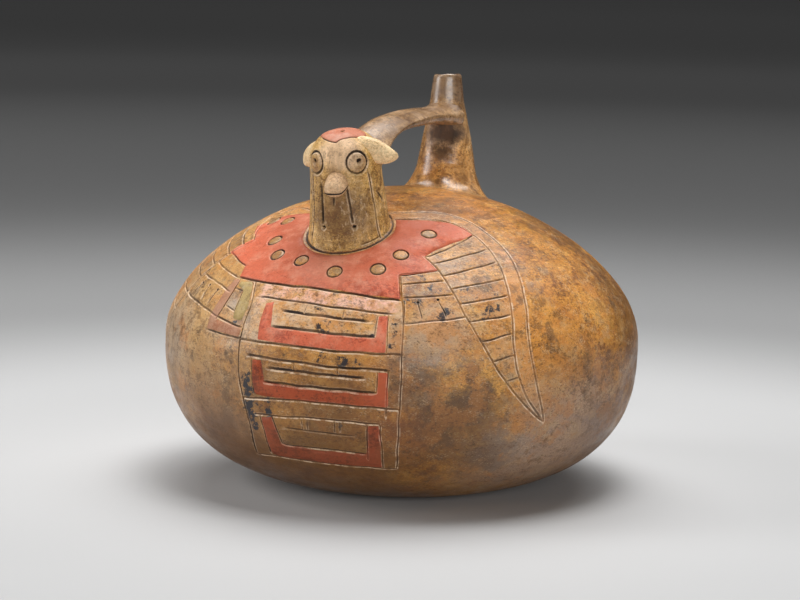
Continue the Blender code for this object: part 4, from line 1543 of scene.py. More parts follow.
@dataclass
class Tuft:
    """Leaf-shaped ear tuft, swept back and drooping from the side of the crown.

    Its spine has rows of (reach from the head's axis, level, half its height).
    """

    side: float
    spine: tuple[tuple[float, float, float], ...]
    set_back: float = -2.5
    sweep: float = 0.25
    thickness: float = 7.6
    rows: int = 40
    columns: int = 40

    def mould(self) -> Mould:
        """Closed leaf with a blunt tip.

        Returns:
            The leaf, in the head's frame.
        """
        table = np.array(self.spine)
        steps = np.concatenate([[0.0], np.cumsum(np.hypot(np.diff(table[:, 0]), np.diff(table[:, 1])))])
        traits = [tuple(zip(steps, column)) for column in table.T]
        cos, sin = np.cos(circle(self.columns)), np.sin(circle(self.columns))
        grid = []
        for share in 1.0 - (1.0 - np.linspace(0.0, 1.0, self.rows)) ** 1.6:
            run = share * steps[-1]
            reach, level, half = (smooth_at(trait, run) for trait in traits)
            ahead, behind = min(run + 0.3, steps[-1]), max(run - 0.3, 0.0)
            across, up = (smooth_at(trait, ahead) - smooth_at(trait, behind) for trait in traits[:2])
            lean = math.atan2(up, across)
            blunt = max(1.0 - share ** 5, 0.0004) ** 0.5
            rise = half * blunt * squared(sin, 0.92)
            thick = 0.5 * self.thickness * blunt * (1.1 - 0.45 * share) * squared(cos, 0.9)
            x = self.side * (reach - rise * math.sin(lean))
            y = self.set_back + self.sweep * (reach - table[0, 0]) + thick
            grid.append(np.stack([x, y, level + rise * math.cos(lean)], axis=1))
        grid = np.array(grid)
        flat = grid.reshape(-1, 3)
        wave = 0.16 * ripple(flat, 5.5, 3.3 + self.side)
        return Mould(flat + wave[:, None] * (0.3, 0.6, 0.7), lattice(grid, True, True))


class Wire:
    """Output of a shader node, which adds up and multiplies like a number."""

    def __init__(self, bench: "Bench", socket: bpy.types.NodeSocket) -> None:
        """Keep the output and the bench that it lies on."""
        self.bench = bench
        self.socket = socket

    def __add__(self, other: "Wire | float") -> "Wire":
        """Sum of this and a value."""
        return self.bench.math("ADD", self, other)

    def __radd__(self, other: float) -> "Wire":
        """Sum of a number and this."""
        return self.bench.math("ADD", other, self)

    def __sub__(self, other: "Wire | float") -> "Wire":
        """This less a value."""
        return self.bench.math("SUBTRACT", self, other)

    def __rsub__(self, other: float) -> "Wire":
        """A number less this."""
        return self.bench.math("SUBTRACT", other, self)

    def __mul__(self, other: "Wire | float") -> "Wire":
        """This times a value."""
        return self.bench.math("MULTIPLY", self, other)

    def __truediv__(self, other: "Wire | float") -> "Wire":
        """This over a value."""
        return self.bench.math("DIVIDE", self, other)

    def __rtruediv__(self, other: float) -> "Wire":
        """A number over this."""
        return self.bench.math("DIVIDE", other, self)


Feed = Wire | float | tuple


class Bench:
    """Short hand for laying shader nodes in one tree."""

    MIX_SOCKETS = {"VECTOR": (4, 5, 1), "RGBA": (6, 7, 2)}

    def __init__(self, tree: bpy.types.NodeTree) -> None:
        """Keep the tree."""
        self.tree = tree

    def feed(self, socket: bpy.types.NodeSocket, value: Feed) -> None:
        """Link an output into a socket, or set the socket's own value.

        Args:
            socket: input of a node.
            value: what it takes.
        """
        if isinstance(value, Wire):
            self.tree.links.new(value.socket, socket)
        elif socket.type == "RGBA":
            socket.default_value = (*value, 1.0)
        else:
            socket.default_value = value

    def node(self, kind: str, *feeds: Feed, **settings: object) -> bpy.types.Node:
        """Add a node.

        Args:
            kind: type of the node, without the words that all types start with.
            feeds: what its first inputs take, in order.
            settings: its settings.

        Returns:
            The new node.
        """
        made = self.tree.nodes.new("ShaderNode" + kind)
        for name, value in settings.items():
            setattr(made, name, value)
        for socket, value in zip(made.inputs, feeds):
            self.feed(socket, value)
        return made

    def lay(self, kind: str, *feeds: Feed, out: int | str = 0, **settings: object) -> Wire:
        """Add a node as node() does, and give one of its outputs."""
        return Wire(self, self.node(kind, *feeds, **settings).outputs[out])

    def math(self, operation: str, a: Feed, b: Feed, clamp: bool = False) -> Wire:
        """Result of a sum on two values."""
        return self.lay("Math", a, b, operation=operation, use_clamp=clamp)

    def vector(self, operation: str, a: Feed, b: Feed, out: str = "Vector") -> Wire:
        """Result of a sum on two vectors."""
        return self.lay("VectorMath", a, b, out=out, operation=operation)

    def scale(self, vector: Wire, factor: Feed) -> Wire:
        """Vector or colour times a value."""
        nothing = (0.0, 0.0, 0.0)
        return self.lay("VectorMath", vector, nothing, nothing, factor, operation="SCALE")

    def join(self, x: Feed, y: Feed, z: Feed) -> Wire:
        """Vector of three values."""
        return self.lay("CombineXYZ", x, y, z)

    def height(self, place: Wire) -> Wire:
        """Third value of a vector."""
        return self.lay("SeparateXYZ", place, out="Z")

    def remap(self, value: Wire, low: Feed, high: Feed, start: Feed = 0.0, end: Feed = 1.0) -> Wire:
        """Value eased from start to end while it goes from low to high."""
        return self.lay("MapRange", value, low, high, start, end, interpolation_type="SMOOTHSTEP")

    def grain(
        self, place: Wire, length: Feed, detail: float = 3.0, rough: float = 0.55, warp: float = 0.0
    ) -> Wire:
        """Noise at a place.

        Args:
            place: where, in mm.
            length: about how long its lumps are, in mm.
            detail: how many finer layers it has.
            rough: how strong those are.
            warp: how much it is stirred.

        Returns:
            A value between 0 and 1.
        """
        made = self.node("TexNoise", place)
        values = {"Scale": 1.0 / length, "Detail": detail, "Roughness": rough, "Distortion": warp}
        for name, value in values.items():
            self.feed(made.inputs[name], value)
        return Wire(self, made.outputs["Fac"])

    def blend(self, share: Feed, a: Feed, b: Feed, kind: str = "RGBA") -> Wire:
        """Mix of two colours or vectors.

        Args:
            share: share of the second.
            a: the first.
            b: the second.
            kind: what they are, as the node names it.

        Returns:
            The mix.
        """
        first, second, out = self.MIX_SOCKETS[kind]
        made = self.node("Mix", share, data_type=kind)
        self.feed(made.inputs[first], a)
        self.feed(made.inputs[second], b)
        return Wire(self, made.outputs[out])

    def mask(self, name: str) -> Wire:
        """Value that a mesh holds at each of its points."""
        return self.lay("Attribute", out="Fac", attribute_name=name)

    def place(self) -> Wire:
        """Place on the vessel, in mm from the centre of its base."""
        return self.scale(self.lay("TexCoord", out="Object"), 1.0 / MM)

    def use(self, group: bpy.types.NodeTree, **values: Feed) -> list[Wire]:
        """Place a group.

        Args:
            group: the group.
            values: what its inputs take, by name, with _ for a space.

        Returns:
            Its outputs, in order.
        """
        made = self.node("Group", node_tree=group)
        for name, value in values.items():
            self.feed(made.inputs[name.replace("_", " ").capitalize()], value)
        return [Wire(self, socket) for socket in made.outputs]

    def coat(self, colour: Wire, tone: Tone, cover: float, group: bpy.types.NodeTree, **values: Feed) -> Wire:
        """Lay a tone over a colour where a group's mask says.

        Args:
            colour: colour below.
            tone: colour on top.
            cover: how much of it shows where the mask is full.
            group: group that gives the mask.
            values: what its inputs take.

        Returns:
            The new colour.
        """
        [mask] = self.use(group, **values)
        return self.blend(mask * cover, colour, tone)


class Kind(Enum):
    """Socket types of a group's inputs and outputs."""

    COLOUR = "NodeSocketColor"
    VALUE = "NodeSocketFloat"
    VECTOR = "NodeSocketVector"


def numbers(*names: str) -> dict[str, Kind]:
    """Sockets that are plain numbers."""
    return dict.fromkeys(names, Kind.VALUE)


def colours(*names: str) -> dict[str, Kind]:
    """Sockets that are colours."""
    return dict.fromkeys(names, Kind.COLOUR)


class Group(Bench):
    """Bench on a new shader node group with named inputs and outputs."""

    def __init__(self, name: str, inputs: dict[str, Kind], outputs: dict[str, Kind]) -> None:
        """Start the group.

        Args:
            name: name of the group.
            inputs: names and kinds of its inputs.
            outputs: names and kinds of its outputs.
        """
        super().__init__(bpy.data.node_groups.new(name, "ShaderNodeTree"))
        for way, sockets in (("INPUT", inputs), ("OUTPUT", outputs)):
            for label, kind in sockets.items():
                self.tree.interface.new_socket(label, in_out=way, socket_type=kind.value)
        start = self.tree.nodes.new("NodeGroupInput")
        self.given = [Wire(self, start.outputs[label]) for label in inputs]
        self.end = self.tree.nodes.new("NodeGroupOutput")

    def put(self, *results: Wire) -> bpy.types.NodeTree:
        """Feed the group's outputs.

        Args:
            results: what they take, in order.

        Returns:
            The finished group.
        """
        for socket, value in zip(self.end.inputs, results):
            self.feed(socket, value)
        return self.tree


class Effects:
    """Surface effects that several finishes share, each built once as a node group."""

    STIR = 60.0

    @cached_property
    def cloud(self) -> bpy.types.NodeTree:
        """Ragged round patch about a centre: a smoke cloud from the kiln, a stain, and in places a painted
        sheen, highlight or shadow.
        """
        inputs = {"Centre": Kind.VECTOR, **numbers("Radius", "Softness", "Raggedness")}
        group = Group("cloud", inputs, numbers("Mask"))
        centre, radius, softness, raggedness = group.given
        place = group.place()
        far = group.vector("DISTANCE", place, centre, "Value")
        wide = group.grain(place, 26.0, 4.0, 0.6)
        fine = group.grain(place, 6.0, 5.0, 0.7)
        far = far + ((wide - 0.5) + (fine - 0.5)) * raggedness
        return group.put(group.remap(far, radius - softness, radius + softness, 1.0, 0.0))

    @cached_property
    def lines(self) -> bpy.types.NodeTree:
        """Dirt and painted shade in the incised lines, wider on their upper side, and paler clay on their
        lips with a painted highlight below.
        """
        inputs = {**colours("Colour", "Dirt colour", "Chalk colour"), **numbers("Dirt share", "Chalk share")}
        group = Group("incised_lines", inputs, {**colours("Colour"), **numbers("Dirt")})
        colour, dirt_colour, chalk_colour, dirt_share, chalk_share = group.given
        place = group.place()
        patchy = group.remap(group.grain(place, 3.5, 4.0, 0.65), 0.4, 0.58, 0.15, 1.0)
        out_of = group.mask("groove") + (group.grain(place, 0.8, 3.0, 0.7) - 0.5) * 0.7
        # The under mask shifts the edge: painted shade spreads up the upper side, painted highlight down the
        # lower lip.
        edge = out_of + group.mask("under") * 0.42
        core = group.remap(edge, 0.5, 0.9, 1.0, 0.0) * group.mask("dirt")
        dirt = group.math("MULTIPLY", core, dirt_share, True)
        lip = group.remap(edge, 0.7, 1.0) * group.remap(out_of, 1.3, 1.9, 1.0, 0.0)
        chalk = group.math("MULTIPLY", lip * patchy * group.mask("chalk"), chalk_share, True)
        pale = group.blend(chalk, colour, chalk_colour)
        return group.put(group.blend(dirt, pale, dirt_colour), dirt)

    @cached_property
    def mottle(self) -> bpy.types.NodeTree:
        """Uneven colour of fired clay at four sizes, down to its grain."""
        inputs = {**colours("Light", "Middle", "Dark"), **numbers("Size", "Grain")}
        group = Group("mottle", inputs, colours("Colour"))
        light, middle, dark, size, grain = group.given
        flat = group.place()
        place = group.vector("MULTIPLY", flat, (1.0, 1.0, 1.4))
        wide = group.grain(place, size, 3.0, 0.55)
        mid = group.grain(place, size * 0.24, 5.0, 0.65)
        fine = group.grain(place, size * 0.06, 4.0, 0.7)
        both = wide * 0.34 + (mid * 0.36 + fine * 0.3)
        low = group.blend(group.remap(both, 0.41, 0.49), dark, middle)
        colour = group.blend(group.remap(both, 0.5, 0.58), low, light)
        sand = 1.0 + (group.grain(flat, 1.1, 4.0, 0.8) - 0.5) * grain
        return group.put(group.scale(colour, sand))

    @cached_property
    def flecks(self) -> bpy.types.NodeTree:
        """Scattered specks of a size, drawn out along the body by burnishing."""
        group = Group("flecks", numbers("Length", "Amount", "Stretch", "Seed"), numbers("Mask"))
        length, amount, stretch, seed = group.given
        place = group.vector("MULTIPLY", group.place(), group.join(1.0, 1.0, stretch))
        shift = seed * length
        place = group.vector("ADD", place, group.join(shift, 0.0, shift))
        fine = group.grain(place, length, 4.0, 0.7)
        patch = group.grain(place, length * 9.0, 2.0)
        start = 0.7 - amount * 0.28
        return group.put(group.remap(fine * 0.75 + patch * 0.25, start, start + 0.08))

    @cached_property
    def patches(self) -> bpy.types.NodeTree:
        """How much of a thin stain is left, between a least share and all of it."""
        group = Group("patches", numbers("Length", "Low", "High", "Least"), numbers("Mask"))
        length, low, high, least = group.given
        return group.put(group.remap(group.grain(group.place(), length, 5.0, 0.72), low, high, least, 1.0))

    @cached_property
    def rubbing(self) -> bpy.types.NodeTree:
        """Streaks left by the burnishing stone, round the body or up and down a spout."""
        inputs = {"Way": Kind.VECTOR, **numbers("Upright", "Lowest")}
        group = Group("rubbing", inputs, numbers("Streak"))
        way, upright_share, lowest = group.given
        place = group.place()
        height = group.height(place)
        level = group.vector("MULTIPLY", place, (1.0, 1.0, 0.0))
        round_way = group.scale(group.vector("NORMALIZE", level, level), 60.0)
        down = group.vector("LENGTH", level, level, "Value") - height
        round_way = group.vector("ADD", round_way, group.join(0.0, 0.0, down * 5.0))
        up_way = group.vector("MULTIPLY", place, way)
        mixed = group.blend(upright_share, round_way, up_way, "VECTOR")
        wide = group.grain(mixed, 15.0, 4.0, 0.6)
        fine = group.grain(mixed, 4.5, 3.0, 0.65)
        start = lowest + EQUATOR
        high = group.remap(height, start, start + 22.0, 0.25, 1.0)
        return group.put(group.remap(wide * 0.55 + fine * 0.45, 0.38, 0.62) * high)

    @cached_property
    def soiling(self) -> bpy.types.NodeTree:
        """Soot and painted shade that darken the clay under the widest level, kept lighter about one spot as
        painted light.
        """
        inputs = {"Clean spot": Kind.VECTOR, **numbers("Clean reach", "Share")}
        group = Group("soiling", inputs, numbers("Mask"))
        spot, reach, share = group.given
        place = group.place()
        stir = (group.grain(place, 22.0, 5.0, 0.65) - 0.5) * self.STIR
        low = group.remap(group.height(place) + stir, 20.0, 78.0, 1.0, 0.0)
        away = group.vector("DISTANCE", place, spot, "Value") / reach
        # Painted light: the darkening is held off about the lit spot.
        rubbed = group.remap(away + stir / self.STIR, 0.4, 1.3, 0.55, 1.0)
        return group.put(low * rubbed * share)

    @cached_property
    def residue(self) -> bpy.types.NodeTree:
        """Broken crust of old blue-black paint where a mesh says some is left."""
        group = Group("residue", numbers("Share"), numbers("Mask"))
        [share] = group.given
        blots = group.grain(group.place(), 2.4, 5.0, 0.8)
        return group.put(group.remap(blots + group.mask("residue") * 0.4, 0.74, 0.84) * share)

    @cached_property
    def tooling(self) -> bpy.types.NodeTree:
        """Relief and sheen of hand-burnished clay: rubbed strokes, grit and pits."""
        inputs = numbers("Strokes", "Grit", "Sheen low", "Sheen high")
        group = Group("hand_tooling", inputs, numbers("Height", "Roughness"))
        strokes, grit, low, high = group.given
        place = group.place()
        rubbed = group.grain(group.vector("MULTIPLY", place, (1.0, 1.0, 3.2)), 7.0, 3.0, 0.5, 0.4)
        pits = group.remap(group.grain(place, 1.6, 2.0, 0.5), 0.64, 0.74)
        height = rubbed * strokes + group.grain(place, 0.9, 3.0, 0.6) * grit - pits * grit
        worn = group.grain(group.vector("MULTIPLY", place, (1.0, 1.0, 2.0)), 13.0, 4.0, 0.65)
        return group.put(height, group.remap(worn, 0.34, 0.66, low, high) + pits * 0.12)


@dataclass(frozen=True)
class Cloud:
    """Ragged patch of colour about a centre, in mm from the middle of the widest level."""

    centre: tuple[float, float, float]
    radius: float
    softness: float
    raggedness: float
    colour: Tone
    share: float
    matt: float = 0.0

    def tint(self, bench: Bench, effects: Effects, colour: Wire) -> tuple[Wire, Wire]:
        """Lay the patch over a colour.

        Args:
            bench: bench on the material's tree.
            effects: shared effects.
            colour: colour under the patch.

        Returns:
            The new colour, and the patch's mask.
        """
        x, y, z = self.centre
        [mask] = bench.use(
            effects.cloud, centre=(x, y, z + EQUATOR), radius=self.radius, softness=self.softness,
            raggedness=self.raggedness,
        )
        return bench.blend(mask * self.share, colour, self.colour), mask


@dataclass(frozen=True)
class Blotch:
    """Scattered patches of one colour, of about a length in mm."""

    colour: Tone
    length: float
    amount: float
    share: float
    stretch: float = 1.0
    seed: float = 0.0


@dataclass(frozen=True)
class Field:
    """Colour of the clay where a mesh holds a mask."""

    mask: str
    colour: Tone
    share: float


@dataclass(frozen=True)
class Finish:
    """What clay and paint have alike: a name, three colours of the ground, and how they end."""

    name: str
    light: Tone
    middle: Tone
    dark: Tone
    clouds: tuple[Cloud, ...] = ()
    gloss: float = 0.3
    relief: float = 0.16

    def dress(self, bench: Bench, effects: Effects) -> tuple[Wire, Wire, Wire]:
        """Colour, roughness and relief of the surface, which each kind of finish has its own way to."""
        raise NotImplementedError

    def make(self, effects: Effects) -> bpy.types.Material:
        """Build the material.

        Args:
            effects: shared effects.

        Returns:
            The material.
        """
        material = bpy.data.materials.new(self.name)
        material.use_nodes = True
        bench = Bench(material.node_tree)
        colour, rough, height = self.dress(bench, effects)
        bump = bench.node("Bump")
        bump.inputs["Strength"].default_value = 1.0
        bump.inputs["Distance"].default_value = self.relief * MM
        bench.feed(bump.inputs["Height"], height)
        shader = material.node_tree.nodes["Principled BSDF"].inputs
        shader["Specular IOR Level"].default_value = self.gloss
        bench.feed(shader["Base Color"], colour)
        bench.feed(shader["Roughness"], rough)
        bench.feed(shader["Normal"], Wire(bench, bump.outputs["Normal"]))
        return material


@dataclass(frozen=True)
class ClayFinish(Finish):
    """Fired clay: its colours, patches, specks, incised lines and sheen, with painted shade and light in
    places.
    """

    size: float = 40.0
    grain: float = 1.5
    streak: Tone = (0.11, 0.05, 0.02)
    streak_share: float = 0.45
    streak_low: float = -80.0
    upright: float = 0.0
    way: tuple[float, float, float] = (1.6, 1.6, 0.22)
    blotches: tuple[Blotch, ...] = ()
    # Darker towards the bottom: soot and painted shade, with painted light about the lit spot.
    soil: Tone = (0.1, 0.06, 0.03)
    soil_share: float = 0.0
    clean_spot: tuple[float, float, float] = (0.0, 0.0, 0.0)
    clean_reach: float = 1.0
    fields: tuple[Field, ...] = ()
    fleck: Tone = (0.04, 0.022, 0.014)
    fleck_share: float = 0.6
    crust: Tone = (0.016, 0.02, 0.028)
    dirt: Tone = (0.024, 0.013, 0.008)
    chalk: Tone = (0.78, 0.58, 0.40)
    sheen: tuple[float, float] = (0.36, 0.55)
    gloss: float = 0.35

    def dress(self, bench: Bench, effects: Effects) -> tuple[Wire, Wire, Wire]:
        """Lay the clay's colours from the ground up.

        Args:
            bench: bench on the material's tree.
            effects: shared effects.

        Returns:
            Colour, roughness and relief.
        """
        [colour] = bench.use(
            effects.mottle, light=self.light, middle=self.middle, dark=self.dark, size=self.size,
            grain=self.grain,
        )
        [patchy] = bench.use(effects.patches, length=5.0, low=0.38, high=0.6, least=0.2)
        for patch in self.fields:
            colour = bench.blend(bench.mask(patch.mask) * patch.share * patchy, colour, patch.colour)
        matt = 0.0
        for cloud in self.clouds:
            colour, mask = cloud.tint(bench, effects, colour)
            if cloud.matt:
                matt = matt + mask * cloud.matt
        for spot in self.blotches:
            colour = bench.coat(
                colour, spot.colour, spot.share, effects.flecks, length=spot.length, amount=spot.amount,
                stretch=spot.stretch, seed=spot.seed,
            )
        colour = bench.coat(
            colour, self.streak, self.streak_share, effects.rubbing, upright=self.upright, way=self.way,
            lowest=self.streak_low,
        )
        colour = bench.coat(
            colour, self.fleck, self.fleck_share, effects.flecks, length=1.6, amount=0.5, stretch=2.0
        )
        # Darker towards the bottom: soot and painted shade, held off about the lit spot as painted light.
        colour = bench.coat(
            colour, self.soil, 1.0, effects.soiling, share=self.soil_share, clean_spot=self.clean_spot,
            clean_reach=self.clean_reach,
        )
        colour = bench.coat(colour, self.crust, 1.0, effects.residue, share=0.95)
        # Incised lines: dirt and painted shade in them, pale clay and a painted highlight on their lips.
        colour, dirt = bench.use(
            effects.lines, colour=colour, dirt_colour=self.dirt, chalk_colour=self.chalk, dirt_share=1.0,
            chalk_share=0.9,
        )
        low, high = self.sheen
        height, rough = bench.use(effects.tooling, strokes=0.5, grit=0.25, sheen_low=low, sheen_high=high)
        rough = bench.math("ADD", rough, dirt * 0.3, True)
        return colour, bench.math("ADD", rough, matt, True), height


@dataclass(frozen=True)
class PaintFinish(Finish):
    """Resin paint rubbed into the clay: fresh, faded and dark colours, wear and chips."""

    faded_share: float = 0.6
    wear: float = 0.4
    bare: Tone = (0.24, 0.1, 0.045)
    soil: Tone = (0.13, 0.045, 0.02)
    dirt: Tone = (0.05, 0.018, 0.011)
    chalk: Tone = (0.74, 0.44, 0.30)
    sheen: tuple[float, float] = (0.5, 0.72)

    def dress(self, bench: Bench, effects: Effects) -> tuple[Wire, Wire, Wire]:
        """Lay the paint's colours, where the middle colour is what it fades to.

        Args:
            bench: bench on the material's tree.
            effects: shared effects.

        Returns:
            Colour, roughness and relief.
        """
        [colour] = bench.use(
            effects.mottle, light=self.light, middle=self.light, dark=self.dark, size=18.0, grain=1.0
        )
        for cloud in self.clouds:
            colour, _ = cloud.tint(bench, effects, colour)
        colour = bench.coat(
            colour, self.middle, self.faded_share, effects.patches, length=9.0, low=0.46, high=0.72, least=0.0
        )
        colour = bench.coat(colour, self.bare, 0.7, effects.flecks, length=1.1, amount=self.wear, stretch=1.0)
        # Darker towards the bottom: soot and painted shade.
        colour = bench.coat(colour, self.soil, 1.0, effects.soiling, share=0.55, clean_reach=1.0)
        # Incised lines: dirt and painted shade in them, pale clay and a painted highlight on their lips.
        colour, _ = bench.use(
            effects.lines, colour=colour, dirt_colour=self.dirt, chalk_colour=self.chalk, dirt_share=0.95,
            chalk_share=0.8,
        )
        low, high = self.sheen
        height, rough = bench.use(effects.tooling, strokes=0.5, grit=0.6, sheen_low=low, sheen_high=high)
        return colour, rough, height


@dataclass(frozen=True)
class SoftBox:
    """One soft light: its place and size in metres, and its power in watts."""

    name: str
    place: tuple[float, float, float]
    size: tuple[float, float]
    power: float

    def hang(self, aim: Vector) -> None:
        """Add the light.

        Args:
            aim: where it points, in metres.
        """
        lamp = bpy.data.lights.new(self.name, "AREA")
        lamp.shape = "RECTANGLE"
        lamp.size, lamp.size_y = self.size
        lamp.energy = self.power
        box = bpy.data.objects.new(self.name, lamp)
        box.location = self.place
        box.rotation_mode = "QUATERNION"
        box.rotation_quaternion = (aim - Vector(self.place)).to_track_quat("-Z", "Y")
        bpy.context.scene.collection.objects.link(box)


@dataclass
class Studio:
    """Pale floor, soft lights and the camera, in metres, degrees and pixels."""

    floor_radius: float = 9.0
    floor_reach: float = 4.0
    room_light: float = 0.03
    aim_height: float = 0.08
    turn: float = 25.5
    rise: float = 9.0
    roll: float = 1.24
    distance: float = 1.3
    focus: float = 3045.56
    right_of_centre: float = 3.83
    under_centre: float = 31.39
    image_width: float = 800.0
    sensor_width: float = 36.0

    FLOOR_GREYS = (
        (0.0, 0.6), (0.06, 0.5), (0.125, 0.29), (0.25, 0.168), (0.5, 0.36), (0.66, 0.64), (1.0, 0.92),
    )
    LIGHTS = (
        SoftBox("back_strip", (-0.1, 0.5, 1.17), (1.5, 0.7), 12.4),
        SoftBox("top_box", (-0.05, 0.32, 1.25), (0.8, 0.8), 4.0),
        SoftBox("front_box", (0.18, -0.05, 1.25), (0.5, 0.5), 6.8),
        SoftBox("left_fill", (-1.12, -0.74, 0.36), (0.6, 0.55), 6.8),
        SoftBox("right_fill", (1.0, -1.05, 0.3), (1.2, 0.5), 10.0),
        SoftBox("left_rim", (-1.08, -0.5, 0.85), (0.5, 0.5), 4.9),
        SoftBox("right_rim", (0.52, 1.0, 0.8), (0.9, 0.8), 0.5),
    )

    def paper(self) -> bpy.types.Material:
        """Paper of the floor, whose grey changes with the distance from the vessel.

        Returns:
            The material.
        """
        material = bpy.data.materials.new("floor_paper")
        material.use_nodes = True
        bench = Bench(material.node_tree)
        far = bench.vector("LENGTH", bench.lay("TexCoord", out="Object"), (0.0, 0.0, 0.0), "Value")
        ramp = bench.node("ValToRGB", bench.math("DIVIDE", far, self.floor_reach, True))
        ramp.color_ramp.interpolation = "EASE"
        stops = ramp.color_ramp.elements
        for index, (place, grey) in enumerate(self.FLOOR_GREYS):
            stop = stops[index] if index < len(stops) else stops.new(place)
            stop.position = place
            stop.color = (grey, grey, grey, 1.0)
        shader = material.node_tree.nodes["Principled BSDF"].inputs
        bench.feed(shader["Base Color"], Wire(bench, ramp.outputs["Color"]))
        shader["Roughness"].default_value = 0.6
        shader["Specular IOR Level"].default_value = 0.2
        return material

    def floor(self) -> None:
        """Lay the round floor."""
        turns = circle(96)
        rim = self.floor_radius * np.stack([np.cos(turns), np.sin(turns), 0.0 * turns], axis=1)
        mesh = bpy.data.meshes.new("floor")
        mesh.from_pydata(rim.tolist(), [], [tuple(range(len(rim)))])
        mesh.materials.append(self.paper())
        floor = bpy.data.objects.new("floor", mesh)
        bpy.context.scene.collection.objects.link(floor)

    def lights(self) -> None:
        """Hang the soft lights in a dim room."""
        world = bpy.data.worlds.new("room")
        world.use_nodes = True
        room = world.node_tree.nodes["Background"].inputs
        room["Color"].default_value = (*[self.room_light] * 3, 1.0)
        room["Strength"].default_value = 1.0
        bpy.context.scene.world = world
        bpy.context.scene.view_settings.view_transform = "Standard"
        for box in self.LIGHTS:
            box.hang(Vector((0.0, 0.0, self.aim_height)))

    def camera(self) -> None:
        """Set the camera at the picture's angle."""
        turn, rise, roll = (math.radians(angle) for angle in (self.turn, self.rise, self.roll))
        back = Vector((math.sin(turn) * math.cos(rise), -math.cos(turn) * math.cos(rise), math.sin(rise)))
        side = Vector((math.cos(turn), math.sin(turn), 0.0))
        up = side.cross(-back)
        right = side * math.cos(roll) + up * math.sin(roll)
        top = up * math.cos(roll) - side * math.sin(roll)
        off_axis = top * self.under_centre - right * self.right_of_centre
        ahead = (off_axis / self.focus - back).normalized()
        right = ahead.cross(top).normalized()
        top = right.cross(ahead)
        lens = bpy.data.cameras.new("camera")
        lens.sensor_width = self.sensor_width
        lens.lens = self.focus / self.image_width * self.sensor_width
        lens.clip_start, lens.clip_end = 0.05, 50.0
        pose = Matrix((right, top, -ahead)).transposed().to_4x4()
        pose.translation = Vector((0.0, 0.0, EQUATOR * MM)) + back * self.distance
        view = bpy.data.objects.new("camera", lens)
        view.matrix_world = pose
        bpy.context.scene.collection.objects.link(view)
        bpy.context.scene.camera = view


